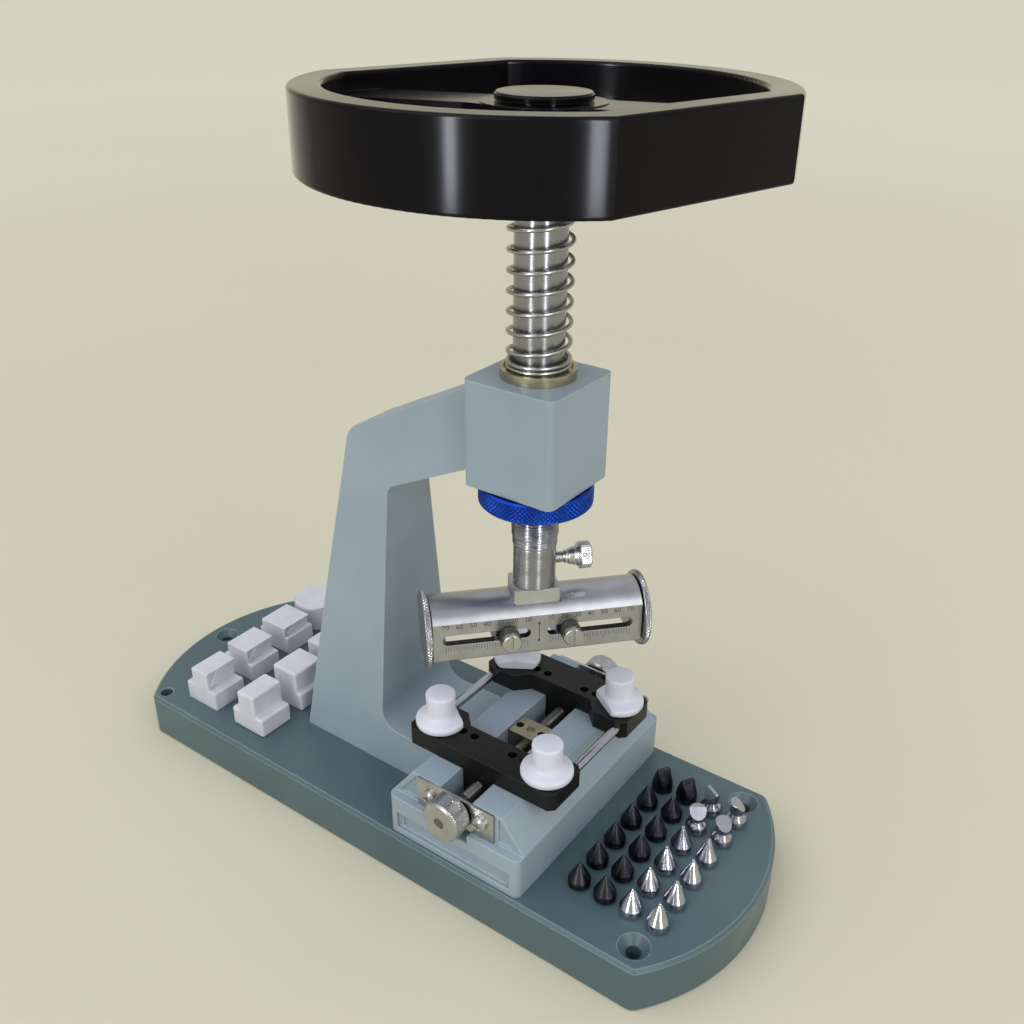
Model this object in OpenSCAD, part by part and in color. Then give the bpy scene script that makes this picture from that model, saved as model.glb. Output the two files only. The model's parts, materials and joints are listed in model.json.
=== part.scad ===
// Bench watch case opener: a plate with a cast C-frame and vise, a sprung spindle with a handwheel,
// and a scaled chuck whose two bit holders open and close on one left and right hand screw.
// The origin is the middle of the plate's underside. The vise screw runs along X, the column stands at +Y.

/* [Base plate] */
// Width of the base plate, along the vise screw
base_w = 100; // [96:1:120]
// Length of the base plate, front to back
base_l = 275; // [270:1:300]
// Thickness of the base plate
base_t = 18; // [12:0.5:24]
// Radius of the curved front and back ends
base_end_r = 75.3; // [65:0.1:110]
// Radius of the plate's four plan corners
base_corner_r = 4; // [2:0.5:8]
// Bevel round the plate's top edge
base_bevel = 1.2; // [0.4:0.1:2.5]
// Distance of the front screw holes from the front end
front_hole_in = 24.1; // [20:0.1:26]
// Distance of the front screw holes from the plate's long sides
front_hole_side = 9; // [8:0.1:12]
// Diameter of the two front screw holes
front_hole_d = 5.5; // [4.5:0.1:6.5]
// Head diameter of the two front countersinks
front_sink_d = 11; // [9:0.1:13]
// Distance of the middle back screw hole from the back end
back_hole_in = 8.8; // [8:0.1:12]
// Diameter of the middle back screw hole
back_hole_d = 5; // [4:0.1:6]
// Head diameter of the middle back countersink
back_sink_d = 10; // [8:0.1:12]
// Distance of the two back corner holes from the back end
corner_hole_in = 21.5; // [20:0.1:24]
// Distance of the two back corner holes from the plate's long sides
corner_hole_side = 5.5; // [5:0.1:7]
// Diameter of the two back corner holes
corner_hole_d = 5.5; // [4.5:0.1:6]

/* [Frame casting] */
// Distance of the spindle in front of the middle of the plate
axis_in_front = 43.5; // [40:0.5:48]
// Length of the vise block, along the vise screw
block_w = 96; // [92:0.5:96]
// Depth of the vise block, front to back
block_d = 57.2; // [54:0.2:62]
// Height of the vise block up to its ledge
block_h = 16.5; // [14:0.5:20]
// Length of the block's sloped crown
crown_w = 89; // [86:0.5:90]
// Depth of the flat on top of the crown
crown_top_d = 39.2; // [36:0.2:44]
// Height of the crown above the ledge
crown_h = 12.1; // [10:0.1:16]
// Width of the channel along the block
channel_w = 14; // [12:0.5:16]
// Depth of the channel below the crown's flat
channel_depth = 15.6; // [14:0.1:17]
// Length of the recess in each end wall of the block
recess_l = 50; // [30:1:52]
// Height of the recess in each end wall of the block
recess_h = 7; // [4:0.2:8]
// Depth of the recess in each end wall of the block
recess_in = 1.5; // [0.5:0.1:3]
// Width of the column at its foot
column_foot_w = 45; // [38:0.5:52]
// Width of the column where it turns into the arm
column_top_w = 18.8; // [16:0.2:24]
// Distance from the spindle to the column's straight front face
throat = 55.9; // [52:0.1:60]
// Depth of the column, front to back, at its foot
column_foot_d = 39.8; // [34:0.1:46]
// How far the column's back leans forward by the top
column_lean = 20.8; // [14:0.1:24]
// How far the column's back bows out between foot and top
column_bow = 0.5; // [0:0.1:2]
// Radius of the round corner at the column's back top
elbow_r = 9; // [6:0.5:14]
// Slope of the arm's top edge in degrees
arm_top_slope = 27.7; // [22:0.1:32]
// Slope of the arm's underside in degrees
arm_under_slope = 25.6; // [20:0.1:28]
// Height of the head's underside above the plate
head_bottom = 131.3; // [128:0.1:140]
// Height of the head itself
head_h = 36.2; // [30:0.1:40]
// Width and depth of the square head
head_w = 34.2; // [30:0.1:38]
// Radius of the casting's upright edges
cast_edge_r = 2.6; // [1:0.1:3]
// Radius of the fillet where the column meets the foot
foot_fillet_r = 8; // [4:0.5:10]
// Radius of the fillet under the arm
arm_fillet_r = 5; // [3:0.5:8]
// Diameter of the casting's bolts
frame_bolt_d = 6; // [5:0.5:8]

/* [Spindle] */
// Diameter of the spindle bar
spindle_d = 16.2; // [15:0.1:17]
// Diameter of the thread below the head
thread_d = 16; // [14.8:0.1:16]
// Length of the thread below the head
thread_l = 19.8; // [18:0.1:22]
// Length of the thinner neck under the thread
neck_l = 3.4; // [2:0.1:5]
// Diameter of the thinner neck under the thread
neck_d = 15.3; // [15:0.1:15.6]
// Diameter of the plain tube end
tube_d = 14.6; // [13.4:0.1:14.9]
// Length of the plain tube end
tube_l = 15.3; // [12:0.1:17]
// Diameter of the chuck's shank
shank_d = 8; // [6:0.1:9]
// Diameter of the spindle's reduced top end inside the wheel
spindle_top_d = 12; // [10:0.5:13]
// Outside diameter of the bush's sleeve
bush_d = 20; // [19:0.1:22]
// Diameter of the bush's flange
bush_flange_d = 24.3; // [23.4:0.1:27]
// Thickness of the bush's flange
bush_flange_t = 2.1; // [1.5:0.1:3]
// Height of the lip round the bush's flange
bush_lip_h = 1; // [0.4:0.1:1.6]
// Diameter of the blue stop nut
stop_nut_d = 38; // [32:0.5:42]
// Thickness of the blue stop nut
stop_nut_t = 6.9; // [6:0.1:9]
// How far the stop nut can be turned down the thread
stop_nut_travel = 12; // [10:0.5:13]
// How far the wheel can be pressed down
press_travel = 12; // [6:0.5:12]
// Diameter of the clamp screw's knurled head
clamp_head_d = 9.3; // [8:0.1:11]
// Reach of the clamp screw from the spindle's middle
clamp_reach = 19.4; // [18:0.1:23]
// Height of the clamp screw above the tube's end
clamp_up = 8.3; // [7:0.1:9.5]

/* [Return spring] */
// Wire diameter of the return spring
wire_d = 1.4; // [1:0.1:1.5]
// Clear height for the spring between its two seats
spring_h = 61.3; // [58:0.1:66]
// Working turns of the spring
spring_turns = 9.5; // [8:0.5:10]
// Closed turns at each end of the spring
closed_turns = 2; // [1:0.25:2]
// Rise of one closed turn
closed_pitch = 2.1; // [2:0.05:2.6]

/* [Handwheel] */
// Diameter of the handwheel over its round sides
wheel_d = 140; // [130:1:150]
// Width of the handwheel over its two flats
wheel_flat_w = 122.4; // [118:0.2:128]
// Height of the handwheel's rim
rim_h = 22.7; // [20:0.1:25]
// Thickness of the rim's wall
rim_t = 9.5; // [8:0.1:12]
// Radius of the rim's edges
rim_edge_r = 1.1; // [0.6:0.1:3.5]
// Direction of the wheel's first flat, in degrees
wheel_turn = -103.2; // [-180:0.1:180]
// Diameter of the wheel's hub
hub_d = 36; // [33:0.5:40]
// Width of the two spokes
spoke_w = 19.5; // [14:0.5:24]
// Depth of the spokes' tops below the hub's top
spoke_down = 0.3; // [0.2:0.1:3]
// Thickness of a spoke
spoke_t = 12; // [9:0.5:14]
// Radius of the curves from the spokes into the hub
spoke_flare_r = 14; // [8:0.5:18]
// Diameter of the hub cap
cap_d = 28; // [26:0.5:31]
// Thickness of the hub cap
cap_t = 2; // [1.6:0.1:4]
// Depth of the hub cap's top below the rim's top edge
cap_sink = 2.5; // [1.5:0.1:4]
// Diameter of the washer under the cap
hub_ring_d = 26; // [23:0.5:26]

/* [Chuck] */
// Direction of the chuck, in degrees
chuck_turn = -42.6; // [-90:0.1:90]
// Diameter of the chuck's body
chuck_d = 24; // [22:0.5:26]
// Length of the chuck over its two knurled discs
chuck_l = 78.4; // [76:0.1:84]
// Distance of the chuck's flat front from its middle
chuck_flat = 9.6; // [9:0.1:10.4]
// Distance of the chuck's flat underside below its middle
chuck_under = 7.6; // [7.4:0.1:9]
// Diameter of the chuck's knurled end discs
disc_d = 26.6; // [25:0.1:29]
// Thickness of the chuck's knurled end discs
disc_t = 2.2; // [2:0.1:4]
// Length of the mount block along the chuck
mount_w = 16; // [15.5:0.1:20]
// Depth of the mount block across the chuck
mount_d = 13; // [11:0.1:15]
// Height of the mount block above its pocket in the chuck
mount_h = 5.9; // [5:0.1:9]
// Height of the chuck's slots
slot_h = 4; // [3.2:0.1:4.6]
// Height of the slots' middle above the lead screw
slot_up = 0.7; // [0:0.1:1]
// Distance of each slot's inner end from the middle
slot_from = 2.9; // [2:0.1:3.4]
// Distance of each slot's outer end from the middle
slot_to = 33.3; // [32.5:0.1:33.6]
// Distance of each bit holder from the middle, as it stands
slider_at = 10.65; // [10:0.05:12]
// How far each bit holder can go in towards the middle
slider_in = 4.5; // [3:0.1:5]
// How far each bit holder can go out
slider_out = 18; // [14:0.1:18.5]
// Length of a bit holder along the chuck
slider_l = 8; // [6:0.2:8.5]
// Diameter of the chuck's lead screw
chuck_screw_d = 4; // [3.5:0.1:4.5]
// Diameter of the sockets that take the bits' shanks
bit_socket_d = 3.1; // [3.1:0.1:3.3]
// How far the thumb screws stand out from the chuck's flat front
thumb_out = 6.2; // [5:0.1:14]
// Diameter of the thumb screws' heads
thumb_d = 6.6; // [5.6:0.1:8]

/* [Vise] */
// Diameter of the vise's lead screw
vise_screw_d = 5; // [4:0.1:5.4]
// Depth of the vise screw's middle below the crown's flat
vise_screw_down = 5.6; // [5:0.1:6.8]
// Diameter of the vise knobs
vise_knob_d = 14.8; // [13:0.1:17]
// Length of the vise knobs
vise_knob_l = 8; // [6:0.1:9]
// Thickness of the end plates
end_plate_t = 1; // [0.8:0.1:3]
// Depth of the end plates, front to back
end_plate_d = 33; // [30:0.2:35]
// Distance of the plate screws on each side of the vise screw
plate_screw_side = 11; // [10:0.2:12]
// Length of the centre block along the vise screw
centre_l = 9.6; // [8:0.2:11]
// Diameter of the three holes in the centre block
centre_hole_d = 3; // [2:0.1:3.2]
// Distance between the holes in the centre block
centre_pitch = 4.8; // [4.2:0.1:4.9]

/* [Jaws] */
// Thickness of the jaws
jaw_t = 7; // [5:0.1:8]
// Depth of the jaws, front to back
jaw_d = 63.2; // [60:0.2:68]
// Distance of the jaws' wide ends from the middle, as they stand
jaw_inner = 14; // [13.6:0.1:16]
// Length of a jaw's wide end along the vise screw
jaw_l = 18.8; // [18:0.1:20]
// How far the jaw's middle stands back from its wide ends
jaw_step = 5.3; // [4:0.1:6]
// Half the depth of the jaw's set-back middle
jaw_waist = 13; // [11:0.1:14]
// Chamfer on the jaws' plan corners
jaw_corner = 2; // [1:0.1:3]
// How far each jaw can close
jaw_in = 11; // [8:0.5:12]
// How far each jaw can open
jaw_out = 9; // [6:0.5:9]
// Distance of the pegs from the jaws' inner ends, along the vise screw
peg_in = 9.8; // [9.3:0.1:10.2]
// Distance of the pegs on each side of the vise screw
peg_side = 23.2; // [23:0.1:24]
// Diameter of the pegs' flanges
peg_flange_d = 18.4; // [16:0.1:18.4]
// Height of the pegs' flanges
peg_flange_h = 5; // [4:0.1:6]
// Distance of the flat on each peg's flange from the peg's middle
peg_flat = 6.2; // [6:0.1:8]
// Direction of the flats, from straight across towards the vise screw, in degrees
peg_flat_turn = 33; // [0:1:60]
// Diameter of the pegs' stems
peg_d = 10.6; // [9:0.1:12]
// Height of the pegs
peg_h = 13; // [10:0.1:13]
// Diameter of the guide rods
rod_d = 3.5; // [3:0.1:3.8]
// Distance of the guide rods on each side of the vise screw
rod_side = 27.8; // [27.8:0.1:28.4]
// How far the guide rods stand out of the far jaw
rod_out = 3; // [2:0.5:9]
// Diameter of the spare holes in the jaws
spare_hole_d = 3.4; // [2.5:0.1:3.4]

/* [Bits and rests] */
// Diameter of the bits
bit_d = 8; // [6:0.1:9]
// Height of the bits above the plate
bit_h = 10.5; // [9:0.1:13]
// Diameter of the bits' shanks
bit_shank_d = 3; // [2:0.1:3]
// Length of the bits' shanks
bit_shank_l = 10; // [6:0.5:10.5]
// Distance from bit to bit along a row
bit_step = 11.76; // [10.5:0.01:12.4]
// Distance from row to row
bit_row_step = 10.24; // [9.8:0.01:10.4]
// Number of bits in a row
bits_in_row = 6; // [4:1:6]
// Distance of the first row of bits in front of the spindle
bit_row_out = 41.5; // [40:0.1:43]
// Width of a stepped rest, along its tongue
rest_w = 15.5; // [12:0.1:16]
// Depth of a stepped rest at its base
rest_d = 17.5; // [14:0.1:18]
// Height of a stepped rest's base
rest_base_h = 8.4; // [6:0.1:10]
// Height of a plain stepped rest with its tongue
rest_h = 17.9; // [16:0.1:22]
// Thickness of the thinnest tongue
tongue_d = 9.4; // [6:0.1:10]
// Thickness of the tongue from one ribbed rest to the next
tongue_step = 2.6; // [0:0.1:3]
// Height of the tongue from one ribbed rest to the next
tongue_drop = 1.8; // [0:0.1:2]
// Diameter of the round rest
puck_d = 22; // [18:0.5:23]
// Height of the round rest
puck_h = 12; // [8:0.5:16]

/* [Hidden] */

$fn = 96;
// Overshoot of every cut
cut = 1;
// Radial clearance of a turning or sliding fit
run_gap = 0.05;
// Clearance between pieces that pass each other
pass_gap = 0.3;

axis_y = -axis_in_front;
ledge_z = base_t + block_h;
crown_z = ledge_z + crown_h;
channel_z = crown_z - channel_depth;
vise_z = crown_z - vise_screw_down;
head_z = base_t + head_bottom;
head_top_z = head_z + head_h;
spring_z = head_top_z + bush_flange_t;
spring_top_z = spring_z + spring_h;
washer_t = 1.2;
hub_z = spring_top_z + washer_t;
rim_z = hub_z - 1.9;
rim_top_z = rim_z + rim_h;
thread_top_z = head_z - pass_gap;
thread_z = thread_top_z + pass_gap - thread_l;
tube_top_z = thread_z - neck_l;
tube_z = tube_top_z - tube_l;
chuck_seat = chuck_d / 2 - 2.4;
chuck_z = tube_z - mount_h - chuck_seat;
disc_gap = 0.4;
chuck_half = chuck_l / 2 - disc_t - disc_gap;
cavity_half = slot_to + 0.5;
cavity_w = 13.6 * chuck_d / 24;
slider_w = cavity_w - 2 * pass_gap;
socket_y = chuck_screw_d / 2 + bit_socket_d / 2 + 1;
jaw_z = crown_z + pass_gap;
jaw_top_z = jaw_z + jaw_t;
rod_z = jaw_z + jaw_t / 2;
peg_x = jaw_inner + peg_in;
plate_x = crown_w / 2;
plate_screw_z = vise_z - 0.4;
knob_x = plate_x + end_plate_t + 0.6;

// Points of an arc round a centre, from one angle to another
function arc(c, r, from, to, steps = 12) =
    [for (i = [0:steps]) let (a = from + (to - from) * i / steps) [c[0] + r * cos(a), c[1] + r * sin(a)]];

// An upright block with round vertical edges, centred in plan
module round_block(w, d, h, r) {
    translate([-w / 2 + r, -d / 2, 0]) cube([w - 2 * r, d, h]);
    translate([-w / 2, -d / 2 + r, 0]) cube([w, d - 2 * r, h]);
    for (x = [-1, 1]) {
        for (y = [-1, 1]) {
            translate([x * (w / 2 - r), y * (d / 2 - r), 0]) cylinder(r = r, h = h, $fn = 32);
        }
    }
}

// A flat rectangle with round corners, from its lower left corner
module round_rect(w, h, r) {
    translate([r, 0]) square([w - 2 * r, h]);
    translate([0, r]) square([w, h - 2 * r]);
    for (x = [r, w - r]) {
        for (y = [r, h - r]) {
            translate([x, y]) circle(r = r, $fn = 48);
        }
    }
}

// A countersunk through hole that opens at height z
module countersunk(d, head_d, z) {
    translate([0, 0, -cut]) cylinder(d = d, h = z + 2 * cut, $fn = 48);
    translate([0, 0, z - (head_d - d) / 2]) cylinder(d1 = d, d2 = head_d, h = (head_d - d) / 2, $fn = 48);
    translate([0, 0, z - 0.01]) cylinder(d = head_d, h = cut, $fn = 48);
}

/* The base plate: straight sides, curved ends and small plan corners. */
end_c = base_l / 2 - base_end_r;
corner_x = base_w / 2 - base_corner_r;
corner_y = end_c + sqrt(pow(base_end_r - base_corner_r, 2) - corner_x * corner_x);

module plate_outline(inset) {
    touch_x = corner_x * base_end_r / (base_end_r - base_corner_r);
    square([base_w - 2 * inset, 2 * corner_y], center = true);
    for (side = [-1, 1]) {
        intersection() {
            translate([0, side * end_c]) circle(r = base_end_r - inset, $fn = 240);
            translate([-touch_x, side > 0 ? 0 : -base_l]) square([2 * touch_x, base_l]);
        }
        for (x = [-corner_x, corner_x]) {
            translate([x, side * corner_y]) circle(r = base_corner_r - inset, $fn = 32);
        }
    }
}

front_hole_y = -base_l / 2 + front_hole_in;
corner_hole_y = base_l / 2 - corner_hole_in;
back_hole_y = base_l / 2 - back_hole_in;

module base_plate() {
    color("darkslategray")
    difference() {
        hull() {
            linear_extrude(base_t - base_bevel) plate_outline(0);
            linear_extrude(base_t) plate_outline(base_bevel);
        }
        for (side = [-1, 1]) {
            translate([side * (base_w / 2 - front_hole_side), front_hole_y, 0])
                countersunk(front_hole_d, front_sink_d, base_t);
            translate([side * (base_w / 2 - corner_hole_side), corner_hole_y, -cut])
                cylinder(d = corner_hole_d, h = base_t + 2 * cut, $fn = 48);
        }
        translate([0, back_hole_y, 0]) countersunk(back_hole_d, back_sink_d, base_t);
        for (p = frame_bolt_places) {
            translate([p[0], p[1], base_t]) mirror([0, 0, 1])
                countersunk(frame_bolt_d + 0.4, frame_head_d, base_t);
        }
        for (row = [0:3]) {
            for (i = [0:bits_in_row - 1]) {
                translate([bit_x(i), bit_y(row), base_t - bit_shank_l - 0.5])
                    cylinder(d = bit_shank_d + 0.2, h = bit_shank_l + cut, $fn = 24);
            }
        }
    }
}

/* The casting: the block, the foot, the leaning column, the arm and the head in one piece. */
column_front_y = axis_y + throat;
column_back_y = column_front_y + column_foot_d;
elbow_z = head_z + 0.1;
head_back_y = axis_y + head_w / 2;
arm_root_z = head_top_z - 4.1;
frame_head_d = 2 * frame_bolt_d;
bolt_head_d = frame_head_d - 1.2;
bolt_cone_h = (bolt_head_d - frame_bolt_d) / 2;
plate_screw_d = 2.4;
plate_screw_l = 7;
frame_bolt_places = [
    for (x = [-1, 1]) for (y = [-1, 1])
        [x * (block_w / 2 - 12), axis_y + y * (block_d / 2 - 8)],
    [0, column_front_y + column_foot_d / 2]
];

// How far the column's back leans at a height above the plate
function lean(h) = let (t = h / (elbow_z - base_t)) column_lean * t - 4 * column_bow * t * (1 - t);

module side_profile() {
    arm_top_run = tan(arm_top_slope);
    arm_under_run = tan(arm_under_slope);
    under_root_z = head_z + 3.2;
    inner_top_z = under_root_z - (column_front_y - head_back_y) * arm_under_run;
    back_top_y = column_back_y - column_lean;
    top_z = arm_root_z - (back_top_y - head_back_y) * arm_top_run;
    fillet_turn = 90 - arm_under_slope;
    fillet_reach = arm_fillet_r * tan(fillet_turn / 2);
    elbow_turn = 90 - arm_top_slope;
    elbow_reach = elbow_r * tan(elbow_turn / 2);
    polygon(concat(
        [[axis_y, base_t], [column_back_y, base_t]],
        [for (i = [1:11]) let (h = (top_z - elbow_reach - base_t) * i / 12)
            [column_back_y - lean(h), base_t + h]],
        arc([back_top_y - elbow_r + 0.8, top_z - elbow_reach], elbow_r, 8, elbow_turn),
        [[head_back_y, arm_root_z], [axis_y, arm_root_z]],
        [[axis_y, under_root_z], [head_back_y, under_root_z]],
        arc([column_front_y - arm_fillet_r, inner_top_z - fillet_reach], arm_fillet_r, fillet_turn, 0),
        arc([column_front_y - foot_fillet_r, ledge_z + foot_fillet_r], foot_fillet_r, 0, -90),
        [[axis_y, ledge_z]]
    ));
}

module column_front_view() {
    top_w = column_top_w / 2 - 1.2;
    polygon([
        [-column_foot_w / 2, base_t], [column_foot_w / 2, base_t], [column_top_w / 2, head_z + 3.2],
        [top_w, head_top_z + 2], [-top_w, head_top_z + 2], [-column_top_w / 2, head_z + 3.2]
    ]);
}

module column_and_arm() {
    intersection() {
        rotate([90, 0, 90]) translate([0, 0, -base_w / 2]) linear_extrude(base_w) side_profile();
        rotate([90, 0, 0]) translate([0, 0, -base_l / 2]) linear_extrude(base_l) column_front_view();
    }
}

module vise_block() {
    translate([0, axis_y, base_t]) round_block(block_w, block_d, block_h, cast_edge_r);
    translate([-crown_w / 2, axis_y, ledge_z]) rotate([90, 0, 90]) linear_extrude(crown_w) polygon([
        [-block_d / 2, 0], [block_d / 2, 0], [crown_top_d / 2, crown_h], [-crown_top_d / 2, crown_h]
    ]);
}

// The outline of the shallow pocket in the crown's end wall, beside the end plate
pocket_from = end_plate_d / 2 + 1.4;
pocket_side = 2.3;
pocket_low = 1.2;
pocket_in = 0.8;

module crown_pocket() {
    slope = (block_d - crown_top_d) / 2 / crown_h;
    pocket_top = min((block_d / 2 - pocket_side - pocket_from) / slope, crown_h - 0.8);
    polygon([
        [pocket_from, pocket_low], [block_d / 2 - pocket_side - pocket_low * slope, pocket_low],
        [pocket_from, pocket_top]
    ]);
}

recess_step = 0.8;

module frame_casting() {
    color("lightsteelblue")
    difference() {
        union() {
            column_and_arm();
            vise_block();
            translate([0, axis_y, head_z]) round_block(head_w, head_w, head_h, cast_edge_r);
        }
        translate([-block_w / 2 - cut, axis_y - channel_w / 2, channel_z])
            cube([block_w + 2 * cut, channel_w, channel_depth + cut]);
        for (side = [-1, 1]) {
            translate([side * block_w / 2, axis_y, base_t + block_h * 0.37])
                cube([2 * recess_in, recess_l, recess_h], center = true);
            translate([side * block_w / 2, axis_y, base_t + block_h * 0.37 - recess_step / 2]) cube([
                2 * (recess_in + recess_step), recess_l - 5 * recess_step, recess_h - 3 * recess_step
            ], center = true);
            for (y = [-1, 1]) {
                translate([side * (plate_x + cut), axis_y + y * plate_screw_side, plate_screw_z])
                    rotate([0, -side * 90, 0])
                        cylinder(d = plate_screw_d + 0.1, h = plate_screw_l + 2 + cut, $fn = 24);
                translate([side * plate_x - pocket_in, axis_y, ledge_z]) mirror([0, y > 0 ? 0 : 1, 0])
                    rotate([90, 0, 90]) linear_extrude(2 * pocket_in) crown_pocket();
            }
        }
        translate([0, axis_y, head_z - cut]) cylinder(d = bush_d, h = head_h + 2 * cut);
        for (p = frame_bolt_places) {
            translate([p[0], p[1], base_t - cut]) cylinder(d = frame_bolt_d, h = 10 + cut, $fn = 32);
        }
    }
}

module frame_bolts() {
    color("dimgray")
    for (p = frame_bolt_places) {
        translate([p[0], p[1], 0.5]) difference() {
            union() {
                cylinder(d = frame_bolt_d, h = base_t + 9, $fn = 32);
                cylinder(d1 = bolt_head_d, d2 = frame_bolt_d, h = bolt_cone_h, $fn = 48);
            }
            translate([0, 0, -cut]) cylinder(d = frame_bolt_d * 0.66, h = 2 + cut, $fn = 6);
        }
    }
}

module spindle_bush() {
    color("goldenrod")
    translate([0, axis_y, 0]) difference() {
        union() {
            translate([0, 0, head_z + 1]) cylinder(d = bush_d, h = head_h - 1);
            translate([0, 0, head_top_z]) cylinder(d = bush_flange_d, h = bush_flange_t + bush_lip_h);
        }
        translate([0, 0, spring_z]) cylinder(d = bush_flange_d - 2.4, h = bush_lip_h + cut);
        translate([0, 0, head_z - cut])
            cylinder(d = spindle_d + 2 * run_gap, h = head_h + bush_flange_t + 2 * cut);
    }
}

/* The fixed pieces of the vise. */
screw_end_d = vise_screw_d - 1;

module end_plates() {
    color("gainsboro")
    for (side = [-1, 1]) {
        translate([side * plate_x, axis_y, ledge_z]) mirror([side > 0 ? 0 : 1, 0, 0]) difference() {
            translate([0, -end_plate_d / 2, 0]) cube([end_plate_t, end_plate_d, crown_h]);
            translate([-cut, 0, vise_z - ledge_z]) rotate([0, 90, 0])
                cylinder(d = screw_end_d + 2 * run_gap, h = end_plate_t + 2 * cut, $fn = 48);
            for (y = [-1, 1]) {
                translate([-cut, y * plate_screw_side, plate_screw_z - ledge_z]) rotate([0, 90, 0])
                    cylinder(d = plate_screw_d + 1, h = end_plate_t + 2 * cut, $fn = 32);
            }
        }
    }
}

module end_plate_screws() {
    screw_head_d = plate_screw_d + 3.2;
    screw_head_h = 0.45 * plate_screw_d;
    screw_dome_h = 0.3 * plate_screw_d;
    screw_back = end_plate_t + plate_screw_l;
    color("silver")
    for (side = [-1, 1]) {
        for (y = [-1, 1]) {
            translate([side * (plate_x + end_plate_t), axis_y + y * plate_screw_side, plate_screw_z])
                rotate([0, side * 90, 0]) difference() {
                    union() {
                        cylinder(d = screw_head_d, h = screw_head_h, $fn = 48);
                        translate([0, 0, screw_head_h])
                            cylinder(d1 = screw_head_d, d2 = screw_head_d - 1.8, h = screw_dome_h, $fn = 48);
                        translate([0, 0, -screw_back])
                            cylinder(d = plate_screw_d, h = screw_back + screw_head_h / 2, $fn = 32);
                    }
                    for (a = [0, 90]) {
                        rotate(a) translate([0, 0, screw_head_h + screw_dome_h])
                            cube([screw_head_d * 0.54, screw_dome_h, 2 * screw_dome_h], center = true);
                    }
                }
        }
    }
}

module centre_block() {
    color("burlywood")
    translate([0, axis_y, 0]) difference() {
        translate([-centre_l / 2, -channel_w / 2 + 0.2, channel_z])
            cube([centre_l, channel_w - 0.4, channel_depth - 0.8]);
        translate([-centre_l, 0, vise_z]) rotate([0, 90, 0])
            cylinder(d = vise_screw_d + 2 * run_gap, h = 2 * centre_l, $fn = 48);
        for (y = [-1, 1]) {
            translate([0, y * centre_pitch, channel_z + 4])
                cylinder(d = centre_hole_d, h = channel_depth, $fn = 32);
        }
        translate([0, 0, vise_z + vise_screw_d / 2 + 1.2])
            cylinder(d = centre_hole_d, h = channel_depth, $fn = 32);
    }
}

/* The bits in their sockets: four rows of cones, blades, points and D ends. */
function bit_x(i) = (i - (bits_in_row - 1) / 2) * bit_step;
function bit_y(row) = axis_y - bit_row_out - row * bit_row_step;

module bit_body(neck_h) {
    translate([0, 0, -bit_shank_l]) cylinder(d = bit_shank_d, h = bit_shank_l + cut, $fn = 24);
    cylinder(d = bit_d, h = neck_h, $fn = 48);
}

module cone_bit(tip_d, h) {
    cone_h = bit_h * 0.3;
    bit_body(h - cone_h);
    translate([0, 0, h - cone_h]) cylinder(d1 = bit_d, d2 = tip_d, h = cone_h, $fn = 48);
}

module black_cone_bits() {
    color("black")
    for (row = [0, 1]) {
        for (i = [0:bits_in_row - 2]) {
            translate([bit_x(i), bit_y(row), base_t]) cone_bit(bit_d * (0.3 + 0.08 * i), bit_h);
        }
    }
}

module blade_bit(blade_t) {
    blade_h = bit_h * 0.42;
    bit_body(bit_h - blade_h);
    intersection() {
        translate([0, 0, bit_h - blade_h]) cylinder(d = bit_d, h = blade_h, $fn = 48);
        translate([-bit_d / 2, -blade_t / 2, 0]) cube([bit_d, blade_t, bit_h]);
    }
}

module black_blade_bits() {
    color("black")
    for (row = [0, 1]) {
        translate([bit_x(bits_in_row - 1), bit_y(row), base_t]) blade_bit(2.4);
    }
}

module point_bit(pin_d) {
    pin_h = bit_h * 0.18;
    cone_bit(bit_d * 0.42, bit_h - pin_h);
    translate([0, 0, bit_h - pin_h - 0.1]) cylinder(d = pin_d, h = pin_h + 0.1, $fn = 24);
}

module steel_point_bits() {
    color("silver")
    for (row = [2, 3]) {
        for (i = [0:bits_in_row - 3]) {
            translate([bit_x(i), bit_y(row), base_t]) point_bit(0.9 + 0.35 * i);
        }
    }
}

module steel_blade_bits() {
    color("silver")
    for (row = [2, 3]) {
        translate([bit_x(bits_in_row - 2), bit_y(row), base_t]) blade_bit(row == 2 ? 3.2 : 1.6);
    }
}

module steel_d_bits() {
    color("silver")
    for (row = [2, 3]) {
        translate([bit_x(bits_in_row - 1), bit_y(row), base_t]) difference() {
            bit_body(bit_h);
            translate([0, bit_d * 0.12, bit_h * 0.55]) rotate([row == 2 ? 18 : 0, 0, 0])
                translate([-bit_d, 0, 0]) cube([2 * bit_d, bit_d, bit_h]);
        }
    }
}

/* The white rests that stand behind the column, and the round rest. */
rib_t = 1.3;

module stepped_rest(x, y, tongue, h) {
    translate([x - rest_w / 2, y, base_t]) {
        translate([0, -rest_d / 2, 0]) cube([rest_w, rest_d, rest_base_h]);
        translate([0, -tongue / 2, 0]) cube([rest_w, tongue, h]);
    }
}

// A rest whose tongue has a hollow face with an end rib and a slanting rib in front
module ribbed_rest(x, y, tongue, h) {
    face_h = h - rest_base_h;
    rib_top = rest_w * 0.53;
    difference() {
        stepped_rest(x, y, tongue, h);
        translate([x - rest_w / 2, y - tongue / 2 + rib_t, base_t + rest_base_h]) rotate([90, 0, 0])
            linear_extrude(2 * rib_t) difference() {
                translate([rib_t, 0]) square([rest_w, face_h - rib_t / 2]);
                polygon([[0, 0], [rib_t, 0], [rib_top, face_h], [rib_top - 1.7 * rib_t, face_h]]);
            }
    }
}

rest_row_y = [68.3, 100];
rest_x = [[-33.3, -11.8, 9.5], [-32.8, -9.8, 13.9]];
rest_gap = 3.4;

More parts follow.
